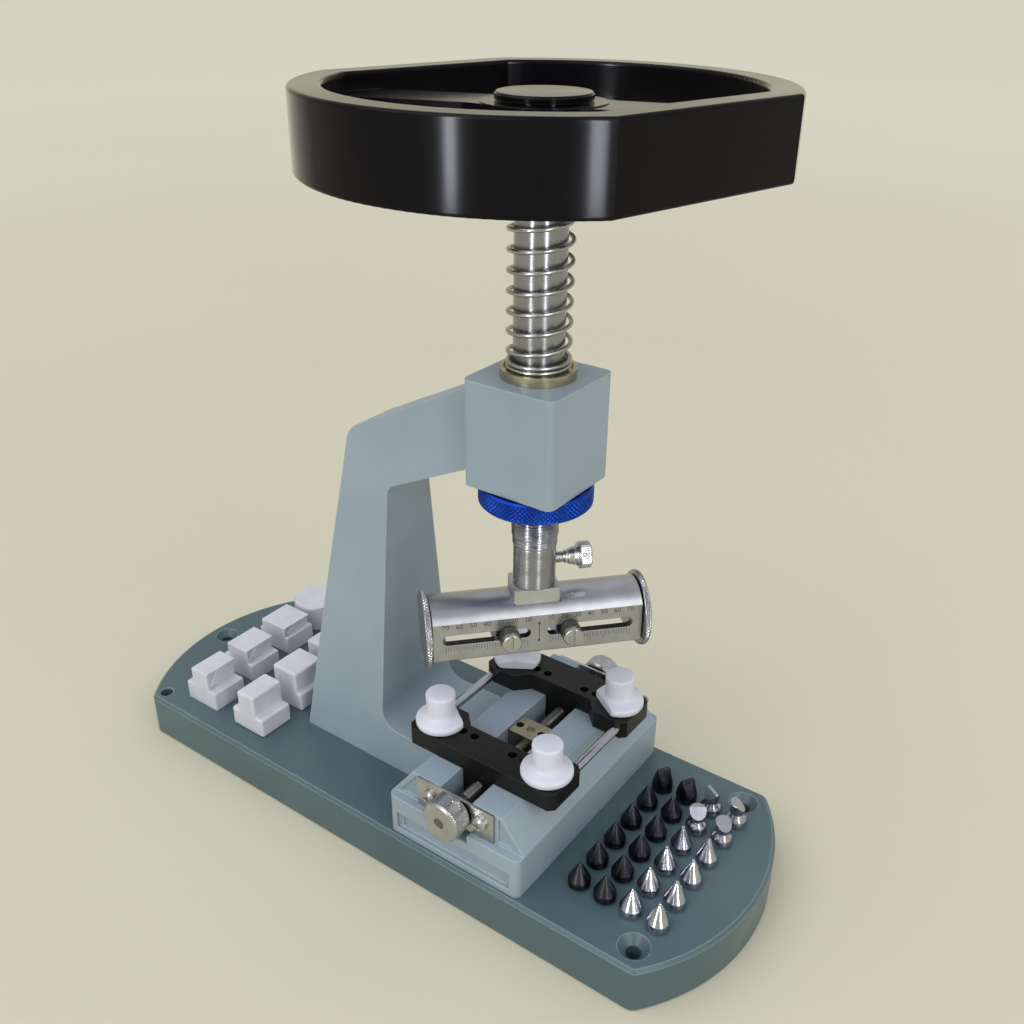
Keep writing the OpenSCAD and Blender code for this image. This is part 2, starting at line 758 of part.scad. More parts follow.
module stepped_blocks() {
    color("white")
    for (i = [0:2]) {
        stepped_rest(rest_x[0][i], rest_row_y[0] + (i > 1 ? 1.4 : 0),
            tongue_d + min(i, 1) * 1.5 * tongue_step, rest_h);
    }
}

module ribbed_blocks() {
    color("white")
    for (i = [0:2]) {
        ribbed_rest(rest_x[1][i], rest_row_y[1] + 3 * (i - 1), tongue_d + i * tongue_step,
            rest_h - 1.2 - i * tongue_drop);
    }
}

module nylon_puck() {
    puck_edge = 0.6;
    color("linen")
    translate([rest_x[1][2] + rest_w / 2 + rest_gap + puck_d / 2, corner_hole_y - 11.5, base_t]) {
        cylinder(d = puck_d, h = puck_h - puck_edge);
        translate([0, 0, puck_h - puck_edge])
            cylinder(d1 = puck_d, d2 = puck_d - 2 * puck_edge, h = puck_edge);
    }
}

/* The pieces that press down and turn. */
module thrust_washer() {
    color("silver")
    translate([0, axis_y, spring_top_z]) difference() {
        cylinder(d = bush_flange_d, h = washer_t - 0.1);
        translate([0, 0, -cut]) cylinder(d = spindle_d + 2 * run_gap, h = washer_t + 2 * cut);
    }
}

/* The spring is one tube along a coil whose closed end turns run flatter than the working turns.
   Its eight-sided coils keep clear of the bar, and its two ends run straight into their seats. */
spring_rings = 8;
spring_r = (spindle_d / 2 + wire_d / 2 + 0.12) / cos(180 / spring_rings);
spring_total = spring_turns + 2 * closed_turns;
end_rise = 2 * wire_d;
spring_pitch = (spring_h - 0.1 - 2 * end_rise - 2 * closed_turns * closed_pitch) / spring_turns;

// Height of the wire's middle after a number of turns
function coil_z(t) =
    t <= closed_turns ? closed_pitch * t
    : t <= closed_turns + spring_turns ? closed_pitch * closed_turns + spring_pitch * (t - closed_turns)
    : closed_pitch * (t - spring_turns) + spring_pitch * spring_turns;

function coil_point(t) = [spring_r * cos(360 * t), spring_r * sin(360 * t), end_rise + coil_z(t)];

spring_path = concat(
    [[spring_r, 0, 0], [spring_r, 0, wire_d]],
    [for (i = [0:round(spring_total * spring_rings)]) coil_point(i / spring_rings)],
    let (last = coil_point(round(spring_total * spring_rings) / spring_rings))
    [[last[0], last[1], last[2] + wire_d], [last[0], last[1], last[2] + end_rise]]
);

function unit(v) = v / norm(v);

// The direction of the tube at each ring: upright at both ends, else between its neighbours
function tube_dir(i) =
    i <= 1 || i >= len(spring_path) - 2 ? [0, 0, 1] : unit(spring_path[i + 1] - spring_path[i - 1]);

// Six points round the path: across it they lie outward and along the binormal
function tube_ring(i) = let (
    p = spring_path[i],
    d = tube_dir(i),
    out = unit([p[0], p[1], 0] - d * (p[0] * d[0] + p[1] * d[1])),
    side = cross(d, out)
) [for (k = [0:5]) p + wire_d / 2 * (cos(60 * k) * out + sin(60 * k) * side)];

spring_ring_count = len(spring_path);
spring_points = [for (i = [0:spring_ring_count - 1]) each tube_ring(i)];
spring_faces = concat(
    [for (k = [1:4]) [0, k, k + 1]],
    [for (k = [1:4]) let (b = 6 * (spring_ring_count - 1)) [b, b + k + 1, b + k]],
    [for (i = [0:spring_ring_count - 2]) for (k = [0:5]) let (
        a = 6 * i + k, b = 6 * i + (k + 1) % 6
    ) each [[a, a + 6, b], [b, a + 6, b + 6]]]
);

// Least distance between parts of the coil more than half a turn apart, less one wire
spring_gap = min([
    for (i = [0:spring_ring_count - 1])
        for (j = [i + 5:1:min(i + 12, spring_ring_count - 1)])
            norm(spring_path[i] - spring_path[j])
]) - wire_d;
echo(least_gap_of_spring_to_itself_mm = spring_gap);

module return_spring() {
    color("gainsboro")
    translate([0, axis_y, spring_z + 0.05]) polyhedron(spring_points, spring_faces, convexity = 20);
}

cap_pin_d = 6;
cap_pin_l = 8;
notch_turn = 151;
notch_w = 1.6;
notch_h = 1.8;

module spindle() {
    color("lightgray")
    translate([0, axis_y, 0]) difference() {
        union() {
            translate([0, 0, tube_z]) cylinder(d = tube_d, h = tube_l);
            translate([0, 0, tube_top_z]) cylinder(d = neck_d, h = neck_l);
            translate([0, 0, thread_z]) cylinder(d = thread_d, h = thread_top_z - thread_z);
            translate([0, 0, thread_top_z]) cylinder(d = spindle_d, h = hub_z - thread_top_z);
            translate([0, 0, hub_z]) cylinder(d = spindle_top_d, h = hub_length - 1);
        }
        translate([0, 0, tube_z - cut]) cylinder(d = shank_d, h = tube_l + neck_l + cut);
        translate([0, 0, hub_z + hub_length - cap_pin_l - cut])
            cylinder(d = cap_pin_d, h = cap_pin_l + cut, $fn = 32);
        rotate(notch_turn) translate([tube_d / 2 - notch_w, -notch_w / 2, tube_z - cut])
            cube([tube_d, notch_w, notch_h + cut]);
        translate([0, 0, tube_z + clamp_up]) rotate([0, 90, chuck_turn])
            cylinder(d = clamp_thread_d + 2 * run_gap, h = tube_d, $fn = 32);
    }
}

/* The handwheel: a rim with two round sides and two flats, two broad spokes and a hub. */
wheel_r = wheel_d / 2;
flat_r = wheel_flat_w / 2;
hub_ring_t = 0.5;
hub_length = rim_top_z - hub_z - cap_sink - hub_ring_t - cap_t;
spoke_turns = [30.2, 210.2];

module rim_section(outer) {
    translate([outer - rim_t, 0]) round_rect(rim_t, rim_h, rim_edge_r);
}

module wheel_rim() {
    corner_half = sqrt(wheel_r * wheel_r - flat_r * flat_r);
    round_part = flat_r - rim_edge_r;
    intersection() {
        rotate_extrude($fn = 180) rim_section(wheel_r);
        translate([-round_part, -wheel_d, -cut]) cube([2 * round_part, 2 * wheel_d, rim_h + 2 * cut]);
    }
    intersection() {
        for (side = [0, 180]) {
            rotate([90, 0, side]) translate([0, 0, -corner_half - 5]) linear_extrude(2 * corner_half + 10)
                rim_section(flat_r);
        }
        rotate_extrude($fn = 180) intersection() {
            translate([-wheel_r, 0]) round_rect(2 * wheel_r, rim_h, rim_edge_r);
            square([wheel_r, rim_h]);
        }
    }
}

module wheel_spoke() {
    half_w = spoke_w / 2;
    hub_r = hub_d / 2 - 0.2;
    flare_y = half_w + spoke_flare_r;
    flare_x = sqrt(pow(hub_r + spoke_flare_r, 2) - flare_y * flare_y);
    upper = concat(
        [[wheel_r - rim_t / 2, half_w]],
        arc([flare_x, flare_y], spoke_flare_r, 270, 180 + atan2(flare_y, flare_x))
    );
    lower = [for (i = [len(upper) - 1:-1:0]) [upper[i][0], -upper[i][1]]];
    translate([0, 0, hub_z + hub_length - rim_z - spoke_down - spoke_t])
        linear_extrude(spoke_t) polygon(concat(upper, lower));
}

module handwheel() {
    color("black")
    translate([0, axis_y, rim_z]) rotate(wheel_turn) difference() {
        union() {
            wheel_rim();
            intersection() {
                for (a = spoke_turns) {
                    rotate(a) wheel_spoke();
                }
                translate([-flat_r + rim_t / 2, -wheel_r, 0]) cube([2 * flat_r - rim_t, 2 * wheel_r, rim_h]);
                cylinder(r = wheel_r - rim_t / 2, h = rim_h, $fn = 180);
            }
            translate([0, 0, hub_z - rim_z]) cylinder(d = hub_d, h = hub_length);
        }
        translate([0, 0, -cut]) cylinder(d = spindle_top_d, h = rim_h + 2 * cut);
    }
}

module hub_ring() {
    color("lightgray")
    translate([0, axis_y, hub_z + hub_length]) difference() {
        cylinder(d = hub_ring_d, h = hub_ring_t);
        translate([0, 0, -cut]) cylinder(d = spindle_top_d, h = hub_ring_t + 2 * cut);
    }
}

module hub_cap() {
    cap_edge = 0.6;
    color("dimgray")
    translate([0, axis_y, hub_z + hub_length + hub_ring_t]) {
        cylinder(d = cap_d, h = cap_t - cap_edge);
        translate([0, 0, cap_t - cap_edge]) cylinder(d1 = cap_d, d2 = cap_d - 2 * cap_edge, h = cap_edge);
        translate([0, 0, -cap_pin_l]) cylinder(d = cap_pin_d, h = cap_pin_l + cut, $fn = 32);
    }
}

module stop_nut() {
    nut_edge = 0.5;
    color("royalblue")
    translate([0, axis_y, head_z - pass_gap - stop_nut_t]) difference() {
        union() {
            cylinder(d1 = stop_nut_d - 2 * nut_edge, d2 = stop_nut_d, h = nut_edge);
            translate([0, 0, nut_edge]) cylinder(d = stop_nut_d, h = stop_nut_t - 2 * nut_edge);
            translate([0, 0, stop_nut_t - nut_edge])
                cylinder(d1 = stop_nut_d, d2 = stop_nut_d - 2 * nut_edge, h = nut_edge);
        }
        translate([0, 0, -cut]) cylinder(d = thread_d + 2 * run_gap, h = stop_nut_t + 2 * cut);
    }
}

clamp_thread_d = 2.9;

module clamp_screw() {
    neck_from = shank_d / 2 + 0.1;
    neck_to = tube_d / 2 + 2;
    cone_to = clamp_reach - 4.2;
    head_edge = 0.4;
    color("silver")
    translate([0, axis_y, tube_z + clamp_up]) rotate([0, 90, chuck_turn]) {
        translate([0, 0, neck_from]) cylinder(d = clamp_thread_d, h = neck_to - neck_from, $fn = 32);
        translate([0, 0, neck_to])
            cylinder(d1 = clamp_thread_d + 0.5, d2 = clamp_head_d - 1.1, h = cone_to - neck_to, $fn = 48);
        translate([0, 0, cone_to])
            cylinder(d = clamp_head_d, h = clamp_reach - cone_to - head_edge, $fn = 48);
        translate([0, 0, clamp_reach - head_edge])
            cylinder(d1 = clamp_head_d, d2 = clamp_head_d - 2 * head_edge, h = head_edge, $fn = 48);
    }
}

/* The chuck: its parts are drawn along X with the scaled front towards -Y, then turned on the spindle. */
module on_chuck() {
    translate([0, axis_y, chuck_z]) rotate(chuck_turn) children();
}

module along_x(from, to, d) {
    translate([from, 0, 0]) rotate([0, 90, 0]) cylinder(d = d, h = to - from, $fn = 64);
}

module chuck_mount() {
    color("gainsboro")
    on_chuck() translate([0, 0, chuck_seat]) {
        round_block(mount_w, mount_d, mount_h, 0.8);
        cylinder(d = shank_d, h = mount_h + tube_l + neck_l - 1);
    }
}

module chuck_body() {
    slot_len = slot_to - slot_from;
    color("silver")
    on_chuck() difference() {
        along_x(-chuck_half, chuck_half, chuck_d);
        translate([-chuck_l, -chuck_flat - chuck_d, -chuck_d]) cube([2 * chuck_l, chuck_d, 2 * chuck_d]);
        translate([-chuck_l, -chuck_d, -chuck_under - chuck_d]) cube([2 * chuck_l, 2 * chuck_d, chuck_d]);
        translate([-mount_w / 2 - 0.1, -mount_d / 2 - 0.1, chuck_seat])
            cube([mount_w + 0.2, mount_d + 0.2, chuck_d]);
        for (side = [-1, 1]) {
            translate([side * (1 + cavity_half) / 2, 0, cavity_w / 2 - chuck_d / 2])
                cube([cavity_half - 1, cavity_w, chuck_d], center = true);
            slot_at = side > 0 ? slot_from : -slot_to;
            translate([slot_at, cut - cavity_w / 2, slot_up - slot_h / 2])
                rotate([90, 0, 0]) linear_extrude(chuck_d / 2)
                    round_rect(slot_len, slot_h, slot_h / 2 - 0.01);
        }
        along_x(-chuck_l, chuck_l, chuck_screw_d + 2 * run_gap);
    }
}

module chuck_lead_screw() {
    color("silver")
    on_chuck() along_x(-chuck_l / 2 + 0.4, chuck_l / 2 - 0.4, chuck_screw_d);
}

module chuck_knobs() {
    disc_edge = 0.4;
    color("silver")
    on_chuck() for (side = [-1, 1]) {
        mirror([side > 0 ? 0 : 1, 0, 0]) difference() {
            union() {
                along_x(chuck_l / 2 - disc_t, chuck_l / 2 - disc_edge, disc_d);
                translate([chuck_l / 2 - disc_edge, 0, 0]) rotate([0, 90, 0])
                    cylinder(d1 = disc_d, d2 = disc_d - 2 * disc_edge, h = disc_edge, $fn = 64);
            }
            along_x(0, chuck_l, chuck_screw_d);
        }
    }
}

module slider(side) {
    color("darkgray")
    on_chuck() translate([side * slider_at, 0, 0]) difference() {
        cube([slider_l, slider_w, slider_w], center = true);
        along_x(-slider_l, slider_l, chuck_screw_d + 2 * run_gap);
        translate([0, -socket_y, -slider_w]) cylinder(d = bit_socket_d, h = slider_w + 3, $fn = 48);
        translate([0, -socket_y, slot_up]) rotate([90, 0, 0])
            cylinder(d = thumb_thread_d + 2 * run_gap, h = slider_w, $fn = 32);
    }
}

module left_slider() { slider(-1); }
module right_slider() { slider(1); }

thumb_thread_d = 2.6;

module thumb_screw(side) {
    collar_from = chuck_flat + pass_gap;
    head_to = chuck_flat + thumb_out;
    head_from = head_to - 1.5;
    head_edge = 0.3;
    thread_from = socket_y + bit_socket_d / 2 + 0.1;
    color("gold")
    on_chuck() translate([side * slider_at, 0, slot_up]) rotate([90, 0, 0]) difference() {
        union() {
            translate([0, 0, thread_from])
                cylinder(d = thumb_thread_d, h = collar_from - thread_from + head_edge, $fn = 32);
            translate([0, 0, collar_from])
                cylinder(d = thumb_d, h = head_from - collar_from - head_edge, $fn = 48);
            translate([0, 0, collar_from])
                cylinder(d = thumb_d - 0.8, h = head_from - collar_from + head_edge, $fn = 48);
            translate([0, 0, head_from])
                cylinder(d = thumb_d, h = head_to - head_from - head_edge, $fn = 48);
            translate([0, 0, head_to - head_edge])
                cylinder(d1 = thumb_d, d2 = thumb_d - 2 * head_edge, h = head_edge, $fn = 48);
        }
        translate([0, 0, head_to]) cube([0.9, 2 * thumb_d, 1.4], center = true);
    }
}

module left_thumb_screw() { thumb_screw(-1); }
module right_thumb_screw() { thumb_screw(1); }

/* The vise screw, its knobs, the jaws and what they carry. */
module on_vise() {
    translate([0, axis_y, vise_z]) children();
}

module vise_lead_screw() {
    journal = plate_x - pass_gap;
    color("silver")
    on_vise() {
        along_x(-journal, journal, vise_screw_d);
        along_x(-knob_x - vise_knob_l, knob_x + vise_knob_l, screw_end_d);
    }
}

module vise_knobs() {
    knob_edge = 0.6;
    color("silver")
    on_vise() for (side = [-1, 1]) {
        mirror([side > 0 ? 0 : 1, 0, 0]) difference() {
            union() {
                along_x(knob_x + knob_edge, knob_x + vise_knob_l - knob_edge, vise_knob_d);
                translate([knob_x, 0, 0]) rotate([0, 90, 0])
                    cylinder(d1 = vise_knob_d - 2 * knob_edge, d2 = vise_knob_d, h = knob_edge, $fn = 64);
                translate([knob_x + vise_knob_l - knob_edge, 0, 0]) rotate([0, 90, 0])
                    cylinder(d1 = vise_knob_d, d2 = vise_knob_d - 2 * knob_edge, h = knob_edge, $fn = 64);
            }
            along_x(0, base_w, screw_end_d);
            translate([knob_x + vise_knob_l / 2, 0, 0]) rotate([set_screw_turn, 0, 0])
                cylinder(d = set_screw_d, h = vise_knob_d, $fn = 32);
        }
    }
}

set_screw_d = 3;
set_screw_turn = 29;

module knob_set_screws() {
    set_screw_l = vise_knob_d / 2 - screw_end_d / 2 - 0.3;
    color("dimgray")
    on_vise() for (side = [-1, 1]) {
        translate([side * (knob_x + vise_knob_l / 2), 0, 0]) rotate([set_screw_turn, 0, 0])
            translate([0, 0, screw_end_d / 2]) difference() {
                cylinder(d = set_screw_d, h = set_screw_l, $fn = 32);
                translate([0, 0, set_screw_l - set_screw_d / 2])
                    cylinder(d = set_screw_d / 2, h = set_screw_d, $fn = 6);
            }
    }
}

// The far jaw; the near jaw is its mirror image, and only the rods' holes differ
module jaw(rod_hole_d, rod_hole_to) {
    outer = jaw_inner + jaw_l;
    waist = jaw_inner + jaw_step;
    half = jaw_d / 2;
    lug_from = waist + 0.7;
    lug_w = channel_w - 2 * pass_gap;
    difference() {
        union() {
            translate([0, axis_y, jaw_z]) linear_extrude(jaw_t) polygon([
                [outer - jaw_corner, -half], [outer, -half + jaw_corner], [outer, half - jaw_corner],
                [outer - jaw_corner, half], [jaw_inner + jaw_corner, half], [jaw_inner, half - jaw_corner],
                [jaw_inner, jaw_waist + jaw_step], [waist, jaw_waist], [waist, -jaw_waist],
                [jaw_inner, -jaw_waist - jaw_step], [jaw_inner, -half + jaw_corner],
                [jaw_inner + jaw_corner, -half]
            ]);
            translate([lug_from, axis_y - lug_w / 2, channel_z + 3])
                cube([outer - 0.8 - lug_from, lug_w, jaw_z - channel_z - 2]);
        }
        translate([0, axis_y, vise_z]) along_x(0, base_w, vise_screw_d + 2 * run_gap);
        for (side = [-1, 1]) {
            translate([0, axis_y + side * rod_side, rod_z]) along_x(0, rod_hole_to, rod_hole_d);
            translate([peg_x, axis_y + side * peg_side, jaw_z - cut])
                cylinder(d = peg_pin_d, h = jaw_t + 2 * cut, $fn = 32);
            for (y = [channel_w / 2 + spare_hole_d / 2 - pass_gap, jaw_waist + 0.6]) {
                translate([peg_x - 0.5, axis_y + side * y, jaw_z])
                    cylinder(d = spare_hole_d, h = jaw_t + cut, $fn = 32);
            }
        }
    }
}

peg_pin_d = 4.6;

// The depth that the guide rods reach into the near jaw, from the middle
rod_end = jaw_inner + jaw_l - 1.5;

module near_jaw() { color("black") mirror([1, 0, 0]) jaw(rod_d, rod_end); }
module far_jaw() { color("black") jaw(rod_d + 2 * run_gap, base_w); }

module pegs() {
    flange_low = 1.2;
    flange_edge = 0.8;
    peg_edge = 0.6;
    color("white")
    for (side = [-1, 1]) {
        translate([peg_x, axis_y + side * peg_side, jaw_top_z]) {
            difference() {
                union() {
                    cylinder(d1 = peg_flange_d - flange_low, d2 = peg_flange_d, h = flange_low);
                    translate([0, 0, flange_low])
                        cylinder(d = peg_flange_d, h = peg_flange_h - flange_low - flange_edge);
                    translate([0, 0, peg_flange_h - flange_edge])
                        cylinder(d1 = peg_flange_d, d2 = peg_flange_d - 2 * flange_edge, h = flange_edge);
                }
                rotate(180 + side * peg_flat_turn) translate([peg_flat, -peg_flange_d, -cut])
                    cube([peg_flange_d, 2 * peg_flange_d, peg_flange_h + 2 * cut]);
            }
            cylinder(d1 = peg_d, d2 = peg_d + 1, h = peg_h - peg_edge);
            translate([0, 0, peg_h - peg_edge])
                cylinder(d1 = peg_d + 1, d2 = peg_d + 1 - 2 * peg_edge, h = peg_edge);
            translate([0, 0, -jaw_t + 1]) cylinder(d = peg_pin_d, h = jaw_t, $fn = 32);
        }
    }
}

module near_pegs() { mirror([1, 0, 0]) pegs(); }
module far_pegs() { pegs(); }

module guide_rods() {
    color("silver")
    for (side = [-1, 1]) {
        translate([0, axis_y + side * rod_side, rod_z])
            along_x(-rod_end, jaw_inner + jaw_l + rod_out, rod_d);
    }
}

base_plate();
frame_casting();
frame_bolts();
spindle_bush();
end_plates();
end_plate_screws();
centre_block();
black_cone_bits();
black_blade_bits();
steel_point_bits();
steel_blade_bits();
steel_d_bits();
stepped_blocks();
ribbed_blocks();
nylon_puck();
thrust_washer();
return_spring();
spindle();
handwheel();
hub_cap();
hub_ring();
stop_nut();
clamp_screw();
chuck_mount();
chuck_body();
chuck_lead_screw();
chuck_knobs();
left_slider();
right_slider();
left_thumb_screw();
right_thumb_screw();
vise_lead_screw();
vise_knobs();
knob_set_screws();
near_jaw();
far_jaw();
near_pegs();
far_pegs();
guide_rods();
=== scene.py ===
# %% [markdown]
# Bench watch case opener.
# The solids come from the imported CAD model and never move. This notebook gives them a camera, a plain studio,
# a finish for every surface, and the few surfaces that a solid model leaves plain: knurls, threads, the
# spring's round wire and the chuck's filled scale. All lengths are metres, with +Z up.

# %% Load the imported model
import json
import math
import bmesh
import bpy
import numpy as np
from mathutils import Matrix, Vector

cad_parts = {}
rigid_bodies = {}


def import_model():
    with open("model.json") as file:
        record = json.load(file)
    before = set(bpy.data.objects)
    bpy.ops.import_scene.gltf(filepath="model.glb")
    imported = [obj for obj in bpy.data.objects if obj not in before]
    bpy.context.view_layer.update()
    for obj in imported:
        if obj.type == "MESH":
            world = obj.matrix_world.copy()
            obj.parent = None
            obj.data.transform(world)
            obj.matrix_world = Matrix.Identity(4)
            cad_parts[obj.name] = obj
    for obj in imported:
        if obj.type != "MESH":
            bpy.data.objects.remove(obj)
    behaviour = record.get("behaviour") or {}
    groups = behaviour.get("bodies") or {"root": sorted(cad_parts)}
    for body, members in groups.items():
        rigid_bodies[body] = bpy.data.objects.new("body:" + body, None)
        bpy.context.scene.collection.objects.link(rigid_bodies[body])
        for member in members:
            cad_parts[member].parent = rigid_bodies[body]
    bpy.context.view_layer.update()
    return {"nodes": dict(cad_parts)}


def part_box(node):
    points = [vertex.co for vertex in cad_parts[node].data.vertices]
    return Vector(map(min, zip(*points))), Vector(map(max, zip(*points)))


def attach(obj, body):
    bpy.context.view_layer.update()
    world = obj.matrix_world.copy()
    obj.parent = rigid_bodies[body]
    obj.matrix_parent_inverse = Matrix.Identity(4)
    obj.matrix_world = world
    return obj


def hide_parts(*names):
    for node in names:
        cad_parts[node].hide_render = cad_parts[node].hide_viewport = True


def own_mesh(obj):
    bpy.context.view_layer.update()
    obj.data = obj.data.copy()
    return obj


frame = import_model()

# %% [markdown]
# The camera first. It stands in front of the bench a little to the left and looks down about 28 degrees.
# Three unit vectors describe it: back (from object to camera), right and up. The slight roll is the hand-held
# tilt of the picture. A matrix whose columns are those three vectors is the camera's rotation.

# %% Camera
def turn_from(azimuth, elevation, roll):
    """Columns right, up and back, where back = (sin a cos e, -cos a cos e, sin e) and right and up are level
    and upright to it, then turned by roll."""
    a, e, t = (math.radians(v) for v in (azimuth, elevation, roll))
    back = Vector((math.sin(a) * math.cos(e), -math.cos(a) * math.cos(e), math.sin(e)))
    right = Vector((0, 0, 1)).cross(back).normalized()
    up = back.cross(right)
    rolled_right = right * math.cos(t) + up * math.sin(t)
    rolled_up = up * math.cos(t) - right * math.sin(t)
    return Matrix((rolled_right, rolled_up, back)).transposed()


camera = bpy.data.objects.new("camera", bpy.data.cameras.new("camera"))
camera.data.sensor_width = 36
camera.data.lens = 37.82
camera.matrix_world = turn_from(-54.402, 27.813, 0.571).to_4x4()
camera.location = (-0.2616, -0.2212, 0.3039)
camera.data.clip_start = 0.01
bpy.context.scene.collection.objects.link(camera)
bpy.context.scene.camera = camera
bpy.context.scene.view_settings.view_transform = "Standard"


# %% [markdown]
# Colours are written the way a paint chart gives them, as sRGB hex. Shaders work in linear light, so one
# function converts them.

# %% Colour and node helpers
def srgb(code, alpha=1.0):
    """Linear RGBA of an sRGB hex colour: c / 12.92 below 0.04045, else ((c + 0.055) / 1.055) to the
    power 2.4."""
    parts = [int(code[i:i + 2], 16) / 255 for i in (0, 2, 4)]
    return tuple(c / 12.92 if c <= 0.04045 else ((c + 0.055) / 1.055) ** 2.4 for c in parts) + (alpha,)


def add(tree, kind, inputs=None, **settings):
    """Adds one shader node, sets its properties and its sockets. An input that is a socket is linked."""
    made = tree.nodes.new("ShaderNode" + kind)
    for name, value in settings.items():
        setattr(made, name, value)
    for name, value in (inputs or {}).items():
        if isinstance(value, bpy.types.NodeSocket):
            tree.links.new(value, made.inputs[name])
        else:
            made.inputs[name].default_value = value
    return made


def start(name, **surface):
    """A new material with its Principled shader's sockets set, and the object's own coordinates."""
    made = bpy.data.materials.new(name)
    made.use_nodes = True
    tree = made.node_tree
    shader = tree.nodes["Principled BSDF"]
    for socket, value in surface.items():
        shader.inputs[socket.replace("_", " ")].default_value = value
    return made, tree, shader, add(tree, "TexCoord").outputs["Object"]


def ramp(tree, factor, stops):
    """A colour ramp through (position, colour) stops."""
    made = add(tree, "ValToRGB", {"Fac": factor})
    keys = made.color_ramp.elements
    while len(keys) < len(stops):
        keys.new(0.5)
    for key, (place, colour) in zip(keys, stops):
        key.position = place
        key.color = colour
    return made.outputs["Color"]


# %% [markdown]
# Most shapes that the solids leave plain are turned, so they are drawn as grids of points. A profile is
# carried round an axis, and a height pattern may be added to its radius. Three functions do it: one joins a
# grid into a mesh, one turns a profile, and one adds points along a profile where a pattern needs them.

# %% Mesh from a grid of points
def surface(name, points, wrap_u=False, wrap_v=False, caps=False, crease=35):
    """A mesh from a grid of points (n, m, 3). Quads join neighbours, a wrapped side joins its last line to
    its first, caps close both ends, and edges that turn by more than crease degrees are shaded sharp."""
    n, m = points.shape[:2]
    i = np.arange(n if wrap_u else n - 1)[:, None]
    j = np.arange(m if wrap_v else m - 1)[None, :]
    i2, j2 = (i + 1) % n, (j + 1) % m
    quads = np.stack([i * m + j, i2 * m + j, i2 * m + j2, i * m + j2], -1).reshape(-1, 4)
    faces = quads.tolist()
    if caps:
        faces += [list(range(m)), list(range((n - 1) * m, n * m))[::-1]]
    mesh = bpy.data.meshes.new(name)
    mesh.from_pydata(points.reshape(-1, 3).tolist(), [], faces)
    mesh.shade_smooth()
    mesh.set_sharp_from_angle(angle=math.radians(crease))
    made = bpy.data.objects.new(name, mesh)
    bpy.context.scene.collection.objects.link(made)
    return made


def lathe(profile, turns, lift=None):
    """Points (n, m, 3) of a profile (n, 2) of radius and height turned round Z in m steps. lift(u, index, z)
    is added to the radius: u is the turn from 0 to 1, index counts along the profile and z is the height."""
    turn = np.arange(turns) / turns
    radius = np.repeat(profile[:, :1], turns, 1)
    if lift is not None:
        radius = radius + lift(turn[None, :], np.arange(len(profile))[:, None], profile[:, 1:2])
    angle = 2 * np.pi * turn[None, :]
    return np.stack([radius * np.cos(angle), radius * np.sin(angle), np.repeat(profile[:, 1:], turns, 1)], -1)


def dense(corners, step):
    """A polyline with points added so that no piece is longer than step."""
    out = [np.array(corners[:1], float)]
    for a, b in zip(corners[:-1], corners[1:]):
        a, b = np.array(a, float), np.array(b, float)
        count = max(1, int(np.ceil(np.linalg.norm(b - a) / step)))
        out.append(a + (b - a) * (np.arange(1, count + 1) / count)[:, None])
    return np.concatenate(out)


# %% [markdown]
# The studio floor is pale paper that sweeps up far behind the object. The sweep is a profile (floor, quarter
# circle, wall) carried round a circle, so it closes the view from every side. Its tint is painted darker near
# the object and paler away from it, a painted shade and light, and it drifts a little from place to place, as
# real paper does.

# %% Floor and sweep
FLOOR_R, BEND_R, WALL_H, FLOOR_DROP = 12.0, 4.0, 7.0, 0.0004
bend = np.linspace(0, np.pi / 2, 16)
profile = np.concatenate([
    [[0.001, 0.0], [0.5, 0.0], [2.0, 0.0]],
    np.stack([FLOOR_R + BEND_R * np.sin(bend), BEND_R * (1 - np.cos(bend))], 1),
    [[FLOOR_R + BEND_R, WALL_H]],
])
paper = surface("paper_floor", lathe(profile, 96)[:, ::-1] - np.array([0, 0, FLOOR_DROP]), wrap_v=True)
paper_mat, tree, shader, place = start("studio_paper", Roughness=0.9, Specular_IOR_Level=0.1)
reach = add(tree, "VectorMath", {0: place}, operation="LENGTH").outputs["Value"]
soft = add(tree, "TexNoise", {"Vector": place, "Scale": 0.9, "Detail": 2.0}).outputs["Fac"]
drift = {"Value": soft, "From Min": 0.3, "From Max": 0.7, "To Min": -0.1, "To Max": 0.1}
blotch = add(tree, "MapRange", drift).outputs["Result"]
# Painted shade and light: the paper is painted darker near the object and paler away from it.
far = add(tree, "MapRange", {"Value": reach, "From Min": 0.2, "From Max": 2.4}).outputs["Result"]
shade = add(tree, "Math", {0: far, 1: blotch}).outputs[0]
tint = ramp(tree, shade, [(0.1, srgb("d6d2bc")), (0.9, srgb("ebe7d3"))])
tree.links.new(tint, shader.inputs["Base Color"])
paper.data.materials.append(paper_mat)

# %% [markdown]
# Light. The sky gives most of it, evenly. A wide soft sun from the back and two soft boxes give it a
# direction. Turned metal and lacquer show what stands around them, so tall strips at the left and the front
# draw the upright highlights: a pair for the steel, and a stronger, bluer pair for the black wheel. Two broad
# fills light the rest from the same sides. What each of them lights is said at the end, when all pieces exist.

# %% Sky, sun, soft boxes and strips
world = bpy.data.worlds.new("studio_sky")
bpy.context.scene.world = world
world.use_nodes = True
tree = world.node_tree
sky = add(tree, "TexCoord")
height = add(tree, "SeparateXYZ", {"Vector": sky.outputs["Generated"]}).outputs["Z"]
glow = ramp(tree, height, [(0.0, (0.60, 0.61, 0.64, 1)), (0.45, (0.66, 0.68, 0.71, 1)),
                           (1.0, (0.78, 0.80, 0.84, 1))])
tree.links.new(glow, tree.nodes["Background"].inputs["Color"])
tree.nodes["Background"].inputs["Strength"].default_value = 0.90


LAMP_AIM, STRIP_RISE, STRIP_AWAY, STRIP_TALL = 0.12, 13, 1.2, 0.95
DAYLIGHT, BLUER = (0.97, 0.985, 1.0), (0.86, 0.92, 1.0)


